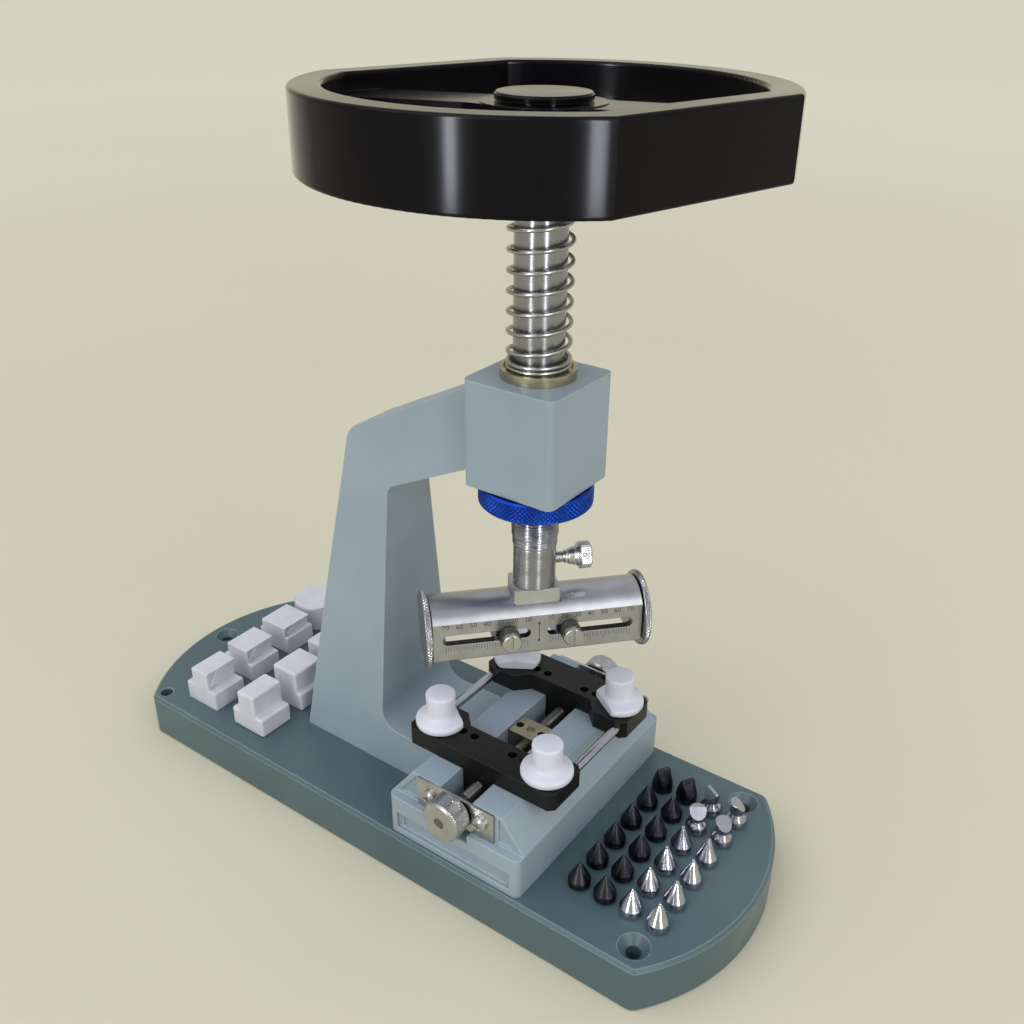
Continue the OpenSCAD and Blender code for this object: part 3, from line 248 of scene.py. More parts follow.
def lamp(name, kind, turn, rise, away, power, colour=DAYLIGHT, **settings):
    """A lamp at this compass turn and height angle in degrees, away metres from the object's middle and
    facing it."""
    data = bpy.data.lights.new(name, kind)
    data.energy = power
    data.color = colour
    for key, value in settings.items():
        setattr(data, key, value)
    made = bpy.data.objects.new(name, data)
    t, e = math.radians(turn), math.radians(rise)
    out = Vector((math.cos(t) * math.cos(e), math.sin(t) * math.cos(e), math.sin(e)))
    made.matrix_world = (-out).to_track_quat("-Z", "Y").to_matrix().to_4x4()
    made.location = out * away + Vector((0, 0, LAMP_AIM))
    made.visible_camera = False
    bpy.context.scene.collection.objects.link(made)
    return made


def upright(name, turn, wide, power, colour=DAYLIGHT):
    """A tall lamp, this wide in metres, that stands near the floor."""
    return lamp(name, "AREA", turn, STRIP_RISE, STRIP_AWAY, power, colour, shape="RECTANGLE", size=wide,
                size_y=STRIP_TALL)


steel_strips = [upright("strip_steel_left", 178, 0.06, 8.0), upright("strip_steel_front", 238, 0.06, 8.0)]
wheel_strips = [upright("strip_wheel_left", 178, 0.10, 15.0, BLUER),
                upright("strip_wheel_front", 237, 0.11, 14.0, BLUER)]
fills = [upright("fill_left", 178, 0.3, 2.6), upright("fill_front", 238, 0.3, 2.6)]
lamp("window_left", "AREA", 180, 42, 1.9, 5.0, shape="RECTANGLE", size=1.2, size_y=1.0)
lamp("window_front", "AREA", 262, 40, 1.9, 6.5, shape="RECTANGLE", size=1.2, size_y=1.0)
lamp("soft_sun", "SUN", 130, 58, 3.0, 0.60, angle=math.radians(50))
print(len(steel_strips + wheel_strips), "strips,", len(fills), "fills, two soft boxes and a soft sun")

# %% [markdown]
# Two things make a finish read as real: the colour and gloss change a little from place to place, and edges
# catch the light. The first comes from noise at a real size, the second from a Bevel node, which rounds the
# shading over sharp edges as a tumbled or painted edge is rounded. The Bevel node also gives an edge mask, and
# the mask lays a lighter colour on edges: a painted highlight. A picture of the whole tool shows about half
# a millimetre per dot, so marks that are finer on the real metal are drawn a few tenths of a millimetre wide.

# %% Finish helpers
NOISE_LOW, NOISE_HIGH = 0.3, 0.7


def variation(tree, place, millimetres, detail=3.0, stretch=(1, 1, 1)):
    """Noise from 0 to 1 whose lumps are about this many millimetres, drawn out along an axis by stretch."""
    where = add(tree, "Mapping", {"Vector": place, "Scale": tuple(1 / s for s in stretch)}).outputs["Vector"]
    lumps = {"Vector": where, "Scale": 1000 / millimetres, "Detail": detail}
    return add(tree, "TexNoise", lumps).outputs["Fac"]


def band(tree, value, low, high):
    """Maps a noise value to the range low to high."""
    limits = {"Value": value, "From Min": NOISE_LOW, "From Max": NOISE_HIGH, "To Min": low, "To Max": high}
    return add(tree, "MapRange", limits).outputs["Result"]


def relief(tree, shader, height, millimetres, edge=0.0):
    """Bump of this real depth, over shading that is rounded at edges by edge millimetres."""
    inputs = {"Height": height, "Distance": millimetres / 1000}
    if edge:
        inputs["Normal"] = add(tree, "Bevel", {"Radius": edge / 1000}, samples=6).outputs["Normal"]
    bump = add(tree, "Bump", inputs)
    tree.links.new(bump.outputs["Normal"], shader.inputs["Normal"])


EDGE_START, EDGE_FULL = 0.99, 0.80


def edge_mask(tree, millimetres):
    """0 on flats, rising to 1 on edges, by the dot of the rounded and the true normal: it is 1 on a flat, and
    the mask is full where it falls to 0.8."""
    rounded = add(tree, "Bevel", {"Radius": millimetres / 1000}, samples=6).outputs["Normal"]
    true = add(tree, "NewGeometry").outputs["Normal"]
    dot = add(tree, "VectorMath", {0: rounded, 1: true}, operation="DOT_PRODUCT").outputs["Value"]
    edge = add(tree, "MapRange", {"Value": dot, "From Min": EDGE_START, "From Max": EDGE_FULL})
    return edge.outputs["Result"]


# The colour this lays on edges is a painted highlight.
def on_edges(tree, millimetres, amount):
    """The edge mask times an amount: how much of the edge's colour shows."""
    return add(tree, "Math", {0: edge_mask(tree, millimetres), 1: amount}, operation="MULTIPLY").outputs[0]


def blend_colours(tree, factor, a, b):
    """Mixes two colours, each a socket or a linear colour, by a factor."""
    made = add(tree, "Mix", data_type="RGBA")
    for index, value in ((0, factor), (6, a), (7, b)):
        if isinstance(value, bpy.types.NodeSocket):
            tree.links.new(value, made.inputs[index])
        else:
            made.inputs[index].default_value = value
    return made.outputs[2]


# %% [markdown]
# The casting and the plate are sprayed with stoving enamel: semi-gloss, with a faint orange peel of two or
# three millimetres from the spray, and a painted highlight: a lighter colour on the sharp edges.

# %% Stoving enamel
def enamel(name, low, high, edge_highlight_colour, rough, peel=0.03, edges=0.45):
    """Sprayed paint: colour drifts over 40 mm, gloss over 12 mm, and the orange peel is 2.5 mm across."""
    made, tree, shader, place = start(name, Roughness=rough, Specular_IOR_Level=0.5)
    colour = ramp(tree, variation(tree, place, 40), [(0.35, srgb(low)), (0.65, srgb(high))])
    # Painted highlight: a lighter colour laid on the sharp edges of the paint.
    colour_with_edge_highlight = blend_colours(tree, on_edges(tree, 0.8, edges), colour, srgb(edge_highlight_colour))
    tree.links.new(colour_with_edge_highlight, shader.inputs["Base Color"])
    gloss = band(tree, variation(tree, place, 12), rough - 0.04, rough + 0.06)
    tree.links.new(gloss, shader.inputs["Roughness"])
    relief(tree, shader, variation(tree, place, 2.5, 2.0), peel, edge=0.7)
    return made


casting_paint = enamel("casting_enamel_blue_grey", "8998a5", "91a0ac", "c3ced3", 0.40, edges=0.6)
plate_paint = enamel("plate_enamel_slate", "445960", "4e6267", "b2c1c6", 0.32, edges=0.85)
print("enamels:", casting_paint.name, plate_paint.name)


# %% [markdown]
# The handwheel is turned from aluminium and lacquered black. Turning leaves rings round the axis, and they
# draw each lamp out into an upright streak. An anisotropic gloss does that: the shader's tangent runs round
# Z, a quarter turn of it points along the axis, and the gloss is spread that way only. The clear coat grows
# where the surface is seen at a shallow angle, as lacquer with a little dust on it goes pale there.

# %% Gloss black
def gloss_black(name, rough):
    """Black lacquer: nearly no colour of its own, all its look is the reflection."""
    made, tree, shader, place = start(name, Roughness=rough, Specular_IOR_Level=0.04, Anisotropic=1.0,
                                      Anisotropic_Rotation=0.25, Coat_Roughness=0.13)
    facing = add(tree, "LayerWeight", {"Blend": 0.5}).outputs["Facing"]
    limits = {"Value": facing, "From Min": 0.6, "From Max": 0.9, "To Min": 0.16, "To Max": 1.0}
    tree.links.new(add(tree, "MapRange", limits).outputs["Result"], shader.inputs["Coat Weight"])
    colour = ramp(tree, variation(tree, place, 30), [(0.3, srgb("040305")), (0.7, srgb("060506"))])
    # Painted highlight: a grey laid on the lacquer's edges.
    colour_with_edge_highlight = blend_colours(tree, on_edges(tree, 0.5, 0.35), colour, srgb("3f403e"))
    tree.links.new(colour_with_edge_highlight, shader.inputs["Base Color"])
    gloss = band(tree, variation(tree, place, 9), rough - 0.03, rough + 0.04)
    tree.links.new(gloss, shader.inputs["Roughness"])
    relief(tree, shader, variation(tree, place, 0.7, 2.0, (1, 1, 0.4)), 0.002, edge=0.5)
    return made


wheel_black = gloss_black("wheel_lacquer_black", 0.34)


# %% [markdown]
# Bare metals differ by colour and by how they were worked. Turned steel has fine rings across its axis,
# brushed nickel has streaks along one direction, and blasted castings are evenly matt. One function draws
# all of them: fine noise, drawn out along the direction of working, in the roughness and in a shallow bump.
# Turned is how much the rings draw a highlight out along the axis.

# %% Bare metals
def metal(name, low, high, rough, grain=0.4, stretch=(1, 1, 1), depth=0.01, edge_wear_and_highlight=0.0, turned=0.0):
    """Worked metal: grain is the mark's width in millimetres, stretch how many times longer it is per axis,
    depth its height in millimetres, and turned how far round cutting rings draw a highlight out."""
    made, tree, shader, place = start(name, Metallic=1.0, Roughness=rough, Anisotropic=turned,
                                      Anisotropic_Rotation=0.25)
    marks = variation(tree, place, grain, 2.0, stretch)
    colour = ramp(tree, variation(tree, place, 6), [(0.3, srgb(low)), (0.7, srgb(high))])
    # A paler colour on edges: worn edges, and a painted highlight.
    if edge_wear_and_highlight:
        colour = blend_colours(tree, on_edges(tree, 0.3, edge_wear_and_highlight), colour, srgb("c9c6bd"))
    tree.links.new(colour, shader.inputs["Base Color"])
    tree.links.new(band(tree, marks, rough * 0.85, rough * 1.2), shader.inputs["Roughness"])
    relief(tree, shader, marks, depth, edge=0.15)
    return made


# The rings of grinding and turning lie across Z. Real ones are a few hundredths of a millimetre wide. They are
# drawn coarser, because a picture of the whole tool can't show them.
ROUND_Z = (60, 60, 1)
steel_bar = metal("ground_steel", "929296", "9c9ca0", 0.26, 2.0, ROUND_Z, depth=0.0004, turned=0.9)
bright_steel = metal("turned_bright_steel", "a6a8b2", "babcc6", 0.18, 0.3, depth=0.002)
spring_steel = metal("spring_wire_steel", "9c9b98", "afaeaa", 0.24, 0.5, depth=0.002)
screw_steel = metal("screw_steel_grey", "6f6e6d", "807f7d", 0.34, 0.4, depth=0.004)
nickel = metal("nickel_plate_satin", "b0b0af", "bfbfbe", 0.27, 0.3, (1, 1, 12), depth=0.004)
chuck_nickel = metal("nickel_plate_brushed", "aaaaad", "bababe", 0.32, 0.22, depth=0.004)
cast_nickel = metal("nickel_plate_blasted", "bbbbbb", "cacaca", 0.45, 0.6, depth=0.02)
bronze = metal("nickel_bronze", "938e79", "a8a28c", 0.38, 0.5, depth=0.008)
brass = metal("turned_brass", "a8a184", "bcb598", 0.28, 0.25, ROUND_Z, depth=0.002, turned=0.5)
blackened = metal("black_oxide_steel", "34363b", "45484e", 0.30, 0.4, depth=0.005, edge_wear_and_highlight=0.3)
# Shaded copies of the satin nickel: the knurls are painted darker, a painted shade in their grooves, and the
# thumb grips darkest.
deep_painted_shade_knurl_nickel = metal("nickel_knurl_deep_painted_shade", "5c5b57", "6d6c68", 0.42, 0.4, depth=0.004)
painted_shade_knurl_nickel = metal("nickel_knurl_painted_shade", "88898b", "999a9c", 0.22, 0.4, depth=0.003)
blue_anodised = metal("blue_anodised_aluminium", "1038a0", "1a4cba", 0.30, 0.4, depth=0.003, edge_wear_and_highlight=0.06)
print("bare metals from", steel_bar.name, "to", blue_anodised.name)


# %% [markdown]
# The jaws are black anodised aluminium, matt from etching. An oxide layer isn't a mirror, so it is drawn as a
# dark dielectric with a dull gloss and faint milling lines.

# %% Black anodised
black_anodised, tree, shader, place = start("black_anodised_aluminium", Specular_IOR_Level=0.3)
shade = ramp(tree, variation(tree, place, 5), [(0.3, srgb("090908")), (0.7, srgb("10110e"))])
# Painted highlight: a lighter olive grey laid on the jaws' edges.
colour_with_edge_highlight = blend_colours(tree, on_edges(tree, 0.3, 0.25), shade, srgb("6d6c62"))
tree.links.new(colour_with_edge_highlight, shader.inputs["Base Color"])
tree.links.new(band(tree, variation(tree, place, 2), 0.36, 0.5), shader.inputs["Roughness"])
relief(tree, shader, variation(tree, place, 0.3, 2.0, (1, 12, 1)), 0.006, edge=0.25)


# %% [markdown]
# The rests and pegs are white nylon: light goes a little way in before it comes back, which softens their
# edges, and the machined surface has a dull, slightly uneven gloss. The moulded rests are a little greyer
# than the turned pegs.

# %% White nylon
def white_nylon(name, low, high, round_edge):
    """Translucent white plastic: colour over 7 mm, gloss over 3 mm, and a faint cutter grain of half a
    millimetre."""
    made, tree, shader, place = start(name, Roughness=0.46, Subsurface_Weight=0.25, Subsurface_Scale=0.002)
    tree.links.new(ramp(tree, variation(tree, place, 7), [(0.3, srgb(low)), (0.7, srgb(high))]),
                   shader.inputs["Base Color"])
    shader.inputs["Subsurface Radius"].default_value = (1.0, 0.9, 0.8)
    tree.links.new(band(tree, variation(tree, place, 3), 0.40, 0.54), shader.inputs["Roughness"])
    relief(tree, shader, variation(tree, place, 0.5, 3.0), 0.015, edge=round_edge)
    return made


peg_nylon = white_nylon("white_nylon_turned", "c9cbd8", "d3d4e1", 0.5)
rest_nylon = white_nylon("white_nylon_moulded", "c5c6cf", "d0d1d9", 0.8)

# %% [markdown]
# The chuck's numbers are engraved and rubbed with black lacquer. The lacquer is worn unevenly, so it is a dark
# grey that varies within a stroke.

# %% Engraving fill
scale_ink, tree, shader, place = start("engraving_fill_black", Roughness=0.6)
tree.links.new(ramp(tree, variation(tree, place, 0.6), [(0.3, srgb("3c3c3c")), (0.7, srgb("50504f"))]),
               shader.inputs["Base Color"])


# %% [markdown]
# Every solid gets its finish now, also the ones that a finer piece stands for later, so that no surface is
# left plain. The solids' own shapes stay as the CAD made them.

# %% Finish the solids
def finish(material, *names):
    """Gives CAD nodes their material, in every slot they have."""
    for name in names:
        node = frame["nodes"][name]
        if not node.material_slots:
            node.data.materials.append(material)
        for held in node.material_slots:
            held.material = material


finish(plate_paint, "base_plate")
finish(casting_paint, "frame_casting")
finish(wheel_black, "handwheel", "hub_cap", "hub_ring")
finish(brass, "spindle_bush")
finish(nickel, "end_plates", "end_plate_screws", "clamp_screw", "chuck_knobs", "left_thumb_screw",
       "right_thumb_screw", "vise_knobs", "knob_set_screws")
finish(chuck_nickel, "chuck_body")
finish(cast_nickel, "chuck_mount")
finish(bronze, "centre_block")
finish(steel_bar, "spindle")
finish(bright_steel, "thrust_washer", "left_slider", "right_slider", "chuck_lead_screw", "steel_point_bits",
       "steel_blade_bits", "steel_d_bits", "guide_rods")
finish(screw_steel, "vise_lead_screw")
finish(spring_steel, "return_spring")
finish(blackened, "frame_bolts", "black_cone_bits", "black_blade_bits")
finish(blue_anodised, "stop_nut")
finish(black_anodised, "near_jaw", "far_jaw")
finish(rest_nylon, "stepped_blocks", "ribbed_blocks", "nylon_puck")
finish(peg_nylon, "near_pegs", "far_pegs")
print("finished", sum(bool(node.material_slots) for node in frame["nodes"].values()), "solids")


# %% [markdown]
# Knurling is pressed or cut by a toothed wheel. A diamond knurl is two sets of slanted grooves crossing each
# other, a straight knurl is one set along the axis. Both are a height added to the radius: distance along
# the rim and along the axis are measured in pitches, and a triangle wave gives each groove. The numbers that
# are taken from the wave lower the pattern, so that its crests stay near the part's true radius.

# %% Knurl patterns
def wave(t):
    """Triangle wave: 0 at whole numbers, 1 half way between."""
    return 1 - np.abs(2 * (t - np.floor(t)) - 1)


def diamond(count, pitch, depth, low, high):
    """Lift for lathe(): the lower of two slanted triangle waves, fading at both heights over a third of a
    pitch."""
    def lift(u, index, z):
        a, b = count * u + (z - low) / pitch, count * u - (z - low) / pitch
        fade = np.clip(np.minimum(z - low, high - z) / (0.35 * pitch) + 1e-9, 0, 1)
        return depth * fade * (np.minimum(wave(a), wave(b)) - 0.6)
    return lift


def straight(count, depth, low, high, softness):
    """Lift for lathe(): a triangle wave round the axis, fading at both heights over softness."""
    def lift(u, index, z):
        fade = np.clip(np.minimum(z - low, high - z) / softness + 1e-9, 0, 1)
        return depth * fade * (wave(count * u) - 0.7)
    return lift


def placed(obj, origin, turn=None):
    """Moves a mesh to its place by its vertices, so the object itself stays at the origin."""
    matrix = Matrix.Translation(origin) @ (turn.to_4x4() if turn else Matrix.Identity(4))
    obj.data.transform(matrix)
    obj.data.update()
    return obj


def outward(obj):
    """Makes every face of a closed mesh point outwards."""
    work = bmesh.new()
    work.from_mesh(obj.data)
    bmesh.ops.recalc_face_normals(work, faces=work.faces)
    work.to_mesh(obj.data)
    work.free()
    return obj


def joined(name, objects):
    """One object from several meshes."""
    bpy.ops.object.select_all(action="DESELECT")
    for each in objects:
        each.select_set(True)
    bpy.context.view_layer.objects.active = objects[0]
    bpy.ops.object.join()
    objects[0].name = name
    bpy.ops.object.select_all(action="DESELECT")
    return objects[0]


def dress(obj, material, body, slot, *nodes):
    """Finish, body and the CAD nodes that a piece stands for; slot is not used."""
    outward(obj)
    obj.data.materials.append(material)
    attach(obj, body)
    if nodes:
        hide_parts(*nodes)
    print(obj.name, len(obj.data.polygons), "faces")
    return obj


# %% [markdown]
# The spindle, the chuck and the vise all lie in one upright plane across the plate. Small parts have edges
# broken by the same chamfer.

# %% Shared measures
AXIS_Y, CHAMFER = -0.0435, 0.0003
print("spindle axis at y", AXIS_Y)

# %% [markdown]
# Moulded and turned nylon has no sharp edges. A copy of each white solid, with its loose triangles merged and
# its flat faces joined again, takes a Bevel modifier that rounds every edge of more than 30 degrees. The
# hardened normals keep the flats flat.

# %% Rounded nylon
def rounded(name, node, millimetres, material, body):
    """A merged copy of a solid with its edges rounded by this radius, standing for the solid."""
    work = bmesh.new()
    work.from_mesh(frame["nodes"][node].data)
    bmesh.ops.remove_doubles(work, verts=work.verts, dist=2e-6)
    bmesh.ops.dissolve_limit(work, angle_limit=math.radians(1), verts=work.verts, edges=work.edges)
    work.verts.index_update()
    mesh = bpy.data.meshes.new(name)
    mesh.from_pydata([v.co[:] for v in work.verts], [], [[v.index for v in f.verts] for f in work.faces])
    work.free()
    mesh.shade_smooth()
    made = bpy.data.objects.new(name, mesh)
    bpy.context.scene.collection.objects.link(made)
    bevel = made.modifiers.new("rounded_edges", "BEVEL")
    bevel.width, bevel.segments, bevel.harden_normals = millimetres / 1000, 3, True
    bevel.limit_method, bevel.angle_limit = "ANGLE", math.radians(30)
    return dress(made, material, body, "white_nylon", node)


rounded("stepped_rests_moulded", "stepped_blocks", 0.9, rest_nylon, "base")
rounded("ribbed_rests_moulded", "ribbed_blocks", 0.6, rest_nylon, "base")
rounded("round_rest_turned", "nylon_puck", 0.9, rest_nylon, "base")

# %% [markdown]
# A peg is turned: a thick rounded rim, a shallow cone up to the stem, and a pin into the jaw. One flat is
# milled on the flange: each point beyond the flat's plane is moved back onto it. The profile is in millimetres.

# %% Pegs
PEG_X, PEG_SIDE, PEG_FLAT, PEG_H, FLAT_TURN = 0.0238, 0.0232, 0.0062, 0.013, math.radians(33)
peg_line = np.array([
    (2.3, -6.0), (2.3, 0.02), (8.5, 0.02), (8.95, 0.25), (9.2, 0.7), (9.2, 1.9), (9.05, 2.4), (8.7, 2.75),
    (8.2, 2.95), (6.2, 3.7), (5.6, 4.1), (5.25, 4.7), (5.1, 5.5), (5.4, 11.9), (5.35, 12.5), (5.1, 12.85),
    (4.7, 13.0)]) / 1000
for side_sign, name, body in ((-1, "near", "near_jaw_group"), (1, "far", "far_jaw_group")):
    jaw_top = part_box(f"{name}_pegs")[1].z - PEG_H
    pair = []
    for across in (-1, 1):
        turn = math.pi + across * FLAT_TURN
        flat = np.array([side_sign * math.cos(turn), math.sin(turn), 0])
        grid = lathe(peg_line, 96)
        grid = grid - np.clip(grid @ flat - PEG_FLAT, 0, None)[..., None] * flat
        peg = surface(f"{name}_peg_{across}", grid, wrap_v=True, caps=True, crease=40)
        pair.append(placed(peg, (side_sign * PEG_X, AXIS_Y + across * PEG_SIDE, jaw_top)))
    dress(joined(f"{name}_pegs_turned", pair), peg_nylon, body, "white_nylon", f"{name}_pegs")

# %% [markdown]
# The stop nut is turned from aluminium, knurled in diamonds and anodised blue. The ring is drawn again with the
# knurl in its shape, because the knurl shows in the nut's outline.

# %% Stop nut
lo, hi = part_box("stop_nut")
nut_r, nut_h = (hi.x - lo.x) / 2, hi.z - lo.z
NUT_BORE_R, NUT_EDGE, NUT_PITCH, NUT_DEPTH, NUT_STEP = 0.00805, 0.0006, 0.00155, 0.0005, 0.00024
ring = dense([(NUT_BORE_R, 0), (nut_r - NUT_EDGE, 0), (nut_r, NUT_EDGE), (nut_r, nut_h - NUT_EDGE),
              (nut_r - NUT_EDGE, nut_h), (NUT_BORE_R, nut_h)], NUT_STEP)
diamonds = round(2 * math.pi * nut_r / NUT_PITCH)
knurl = diamond(diamonds, NUT_PITCH, NUT_DEPTH, NUT_EDGE, nut_h - NUT_EDGE)
nut = surface("stop_nut_knurled", lathe(ring, 8 * diamonds, knurl), wrap_u=True, wrap_v=True, crease=25)
placed(nut, (0, AXIS_Y, lo.z))
dress(nut, blue_anodised, "nut_group", "blue_anodised", "stop_nut")

# %% [markdown]
# The spindle is one ground bar: bright and smooth above the head, a fine screw thread below it for the stop
# nut, and a plain tube end with a notch. The thread is a triangle wave that moves up one pitch per turn, so its
# radius depends on height less pitch times turn. The notch is where the radius drops.

# %% Spindle
lo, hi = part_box("spindle")
THREAD_PITCH, THREAD_DEPTH, THREAD_STEP, RUN_OUT = 0.001, 0.0005, 0.00014, 0.0005
BAR_R, THREAD_R, NECK_R, TUBE_R, GROOVE_DEPTH = 0.0081, 0.008, 0.00765, 0.0073, 0.0005
TUBE_H, NECK_H, THREAD_START = 0.0153, 0.0034, 0.0009
NOTCH_TURN, NOTCH_W, NOTCH_H, NOTCH_DEPTH = math.radians(151), 0.0016, 0.0018, 0.0019
head_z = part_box("stop_nut")[1].z + 0.0003
washer_low, washer_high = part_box("thrust_washer")
groove, top = washer_low.z - 0.0075, washer_high.z
tube_top = lo.z + TUBE_H
neck_top = tube_top + NECK_H
foot = dense([(TUBE_R - 0.0004, lo.z), (TUBE_R, lo.z + 0.0004), (TUBE_R, lo.z + NOTCH_H),
              (TUBE_R, lo.z + NOTCH_H + 0.0001), (TUBE_R, tube_top - CHAMFER),
              (TUBE_R - CHAMFER, tube_top)], 0.002)
relief_line = [(NECK_R - GROOVE_DEPTH, tube_top + 0.00002), (NECK_R - GROOVE_DEPTH, tube_top + 0.0002)]
neck = dense([(NECK_R, tube_top + 0.0004), (NECK_R, neck_top - CHAMFER)], THREAD_STEP)
screw_part = dense([(THREAD_R, neck_top), (THREAD_R, head_z - CHAMFER)], THREAD_STEP)
upper = [(BAR_R, head_z), (BAR_R, groove), (BAR_R - GROOVE_DEPTH, groove + 0.0003),
         (BAR_R - GROOVE_DEPTH, groove + 0.0013), (BAR_R, groove + 0.0016), (BAR_R, top)]
outline = np.concatenate([foot, relief_line, neck, screw_part, upper])


def thread(u, index, z):
    """Lift for lathe(): a thread of one pitch per turn between tube and head, and the notch at the foot."""
    inside = np.clip(np.minimum(z - tube_top - THREAD_START, head_z - z) / RUN_OUT, 0, 1)
    aside = np.abs((2 * np.pi * u - NOTCH_TURN + np.pi) % (2 * np.pi) - np.pi) * TUBE_R
    notch = (aside < NOTCH_W / 2) & (z < lo.z + NOTCH_H + 0.00005)
    return -THREAD_DEPTH * inside * (1 - wave(z / THREAD_PITCH - u)) - NOTCH_DEPTH * notch


bar = surface("spindle_bar", lathe(outline, 160, thread), wrap_v=True, caps=True)
placed(bar, (0, AXIS_Y, 0))
dress(bar, steel_bar, "spindle_group", "bright_steel", "spindle")

# %% [markdown]
# The return spring is wound from round wire with two closed turns at each end. Its middle line is a helix
# whose rise per turn eases from the closed pitch to the working pitch, and the wire is a circle carried
# along it on the outward and binormal directions.

# %% Return spring
lo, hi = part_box("return_spring")
WIRE_R, WORKING, CLOSED, CLOSED_PITCH = 0.0007, 8.6, 2.0, 0.00155
EASE_TURNS, STEPS_PER_TURN, WIRE_SIDES, SLACK = 0.5, 40, 14, 0.0001
COIL_R = (hi.x - lo.x) / 2 - WIRE_R
total = WORKING + 2 * CLOSED
t = np.linspace(0, total, int(total * STEPS_PER_TURN) + 1)
room = (hi.z - lo.z) - 2 * WIRE_R - SLACK
from_ends = np.minimum(t, total - t) - CLOSED + EASE_TURNS / 2
ease = np.clip(from_ends / EASE_TURNS, 0, 1)
extra = np.concatenate([[0], np.cumsum((ease[1:] + ease[:-1]) / 2 * np.diff(t))])
rise = CLOSED_PITCH * t + (room - CLOSED_PITCH * total) * extra / extra[-1]
angle = 2 * np.pi * t
line = np.stack([COIL_R * np.cos(angle), COIL_R * np.sin(angle), lo.z + WIRE_R + rise], 1)
along = np.gradient(line, axis=0)
along /= np.linalg.norm(along, axis=1, keepdims=True)
out = np.stack([np.cos(angle), np.sin(angle), 0 * angle], 1)
side = np.cross(along, out)
side /= np.linalg.norm(side, axis=1, keepdims=True)
out = np.cross(side, along)
around = 2 * np.pi * np.arange(WIRE_SIDES) / WIRE_SIDES
tube = line[:, None] + WIRE_R * (np.cos(around)[None, :, None] * out[:, None]
                                 + np.sin(around)[None, :, None] * side[:, None])
spring = surface("return_spring_wire", tube, wrap_v=True, caps=True, crease=60)
placed(spring, (0, AXIS_Y, 0))
dress(spring, spring_steel, "base", "spring_wire", "return_spring")
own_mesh(spring)

# %% [markdown]
# The chuck is turned 42.6 degrees on the spindle. A grid drawn round Z is laid along another axis by three unit
# vectors at right angles, so one lathe function serves every screw and disc.

# %% The chuck's own frame
CHUCK_TURN = -42.6
CHUCK = Matrix.Rotation(math.radians(CHUCK_TURN), 3, "Z")
lo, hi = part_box("chuck_knobs")
chuck_z, disc_r = (lo.z + hi.z) / 2, (hi.z - lo.z) / 2
centre = Vector((0, AXIS_Y, chuck_z))


def turned(x, y, z=0.0):
    """A point of the chuck's own frame (X along its length, -Y to its scaled front) in the object's frame."""
    return centre + CHUCK @ Vector((x, y, z))


def along_axis(grid, axis):
    """Turns a grid drawn round Z so that its Z runs along axis: across = Z x axis, third = axis x across."""
    axis = np.array(axis, float) / np.linalg.norm(axis)
    across = np.cross([0, 0, 1], axis)
    across /= np.linalg.norm(across)
    return grid[..., :1] * across + grid[..., 1:2] * np.cross(axis, across) + grid[..., 2:] * axis


# %% [markdown]
# The two end discs turn the chuck's screw. Each is a thin disc with a diamond knurl on its rim and a face that
# lies a little deeper than the rim. Only the rim has close rows of points.

# %% Chuck discs
HALF, DISC_T, HOLE, RECESS = 0.0392, 0.0022, 0.002, 0.0002
DISC_PITCH, DISC_DEPTH, DISC_DIAMONDS, DISC_STEP, RIM_W = 0.0013, 0.0006, 64, 0.00014, 0.0010
rings = []
for side_sign in (-1, 1):
    a, b = HALF - DISC_T, HALF
    rim = dense([(disc_r - CHAMFER, a), (disc_r, a + CHAMFER), (disc_r, b - CHAMFER), (disc_r - CHAMFER, b)],
                DISC_STEP)
    face = [(disc_r - RIM_W, b), (disc_r - RIM_W - RECESS, b - RECESS), (HOLE, b - RECESS)]
    ring = np.concatenate([[(HOLE, a)], rim, face])
    knurl = diamond(DISC_DIAMONDS, DISC_PITCH, DISC_DEPTH, a + 0.0001, b - 0.0001)
    grid = along_axis(lathe(ring, 8 * DISC_DIAMONDS, knurl), (side_sign, 0, 0))
    rings.append(surface(f"disc_{side_sign}", grid, wrap_u=True, wrap_v=True, crease=25))
discs = joined("chuck_discs", rings)
placed(discs, centre, CHUCK)
# The discs are a darker nickel than the satin nickel: painted shade in the knurl.
dress(discs, painted_shade_knurl_nickel, "chuck_screw_group", "nickel_plate", "chuck_knobs")

# %% [markdown]
# The clamp screw is turned in one piece: a threaded neck, a cone with two rings, and a head with a straight
# knurl. It points along the chuck.

# %% Clamp screw
low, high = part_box("clamp_screw")
REACH, HEAD_R, HEAD_FROM, CLAMP_TEETH = 0.0194, 0.00465, 0.0152, 38
NECK_FROM, NECK_TO, CLAMP_PITCH, CLAMP_DEPTH = 0.0072, 0.0102, 0.0006, 0.0003
RING_AT, RING_DEPTH, RING_W = (0.0112, 0.0141), 0.0003, 0.00025
outline = np.concatenate([
    dense([(0.0003, 0.0064), (0.0020, 0.0064), (0.0020, NECK_TO)], 0.0001),
    dense([(0.0022, NECK_TO + 0.0001), (0.0037, HEAD_FROM)], 0.0002),
    dense([(HEAD_R - CHAMFER, HEAD_FROM), (HEAD_R, HEAD_FROM + CHAMFER), (HEAD_R, REACH - 0.0004),
           (HEAD_R - 0.0004, REACH), (HEAD_R - 0.0013, REACH), (HEAD_R - 0.0015, REACH - 0.0002),
           (0.0003, REACH - 0.0002)], 0.0002)])
teeth = straight(CLAMP_TEETH, 0.00018, HEAD_FROM + 0.0002, REACH - 0.0002, 0.0004)


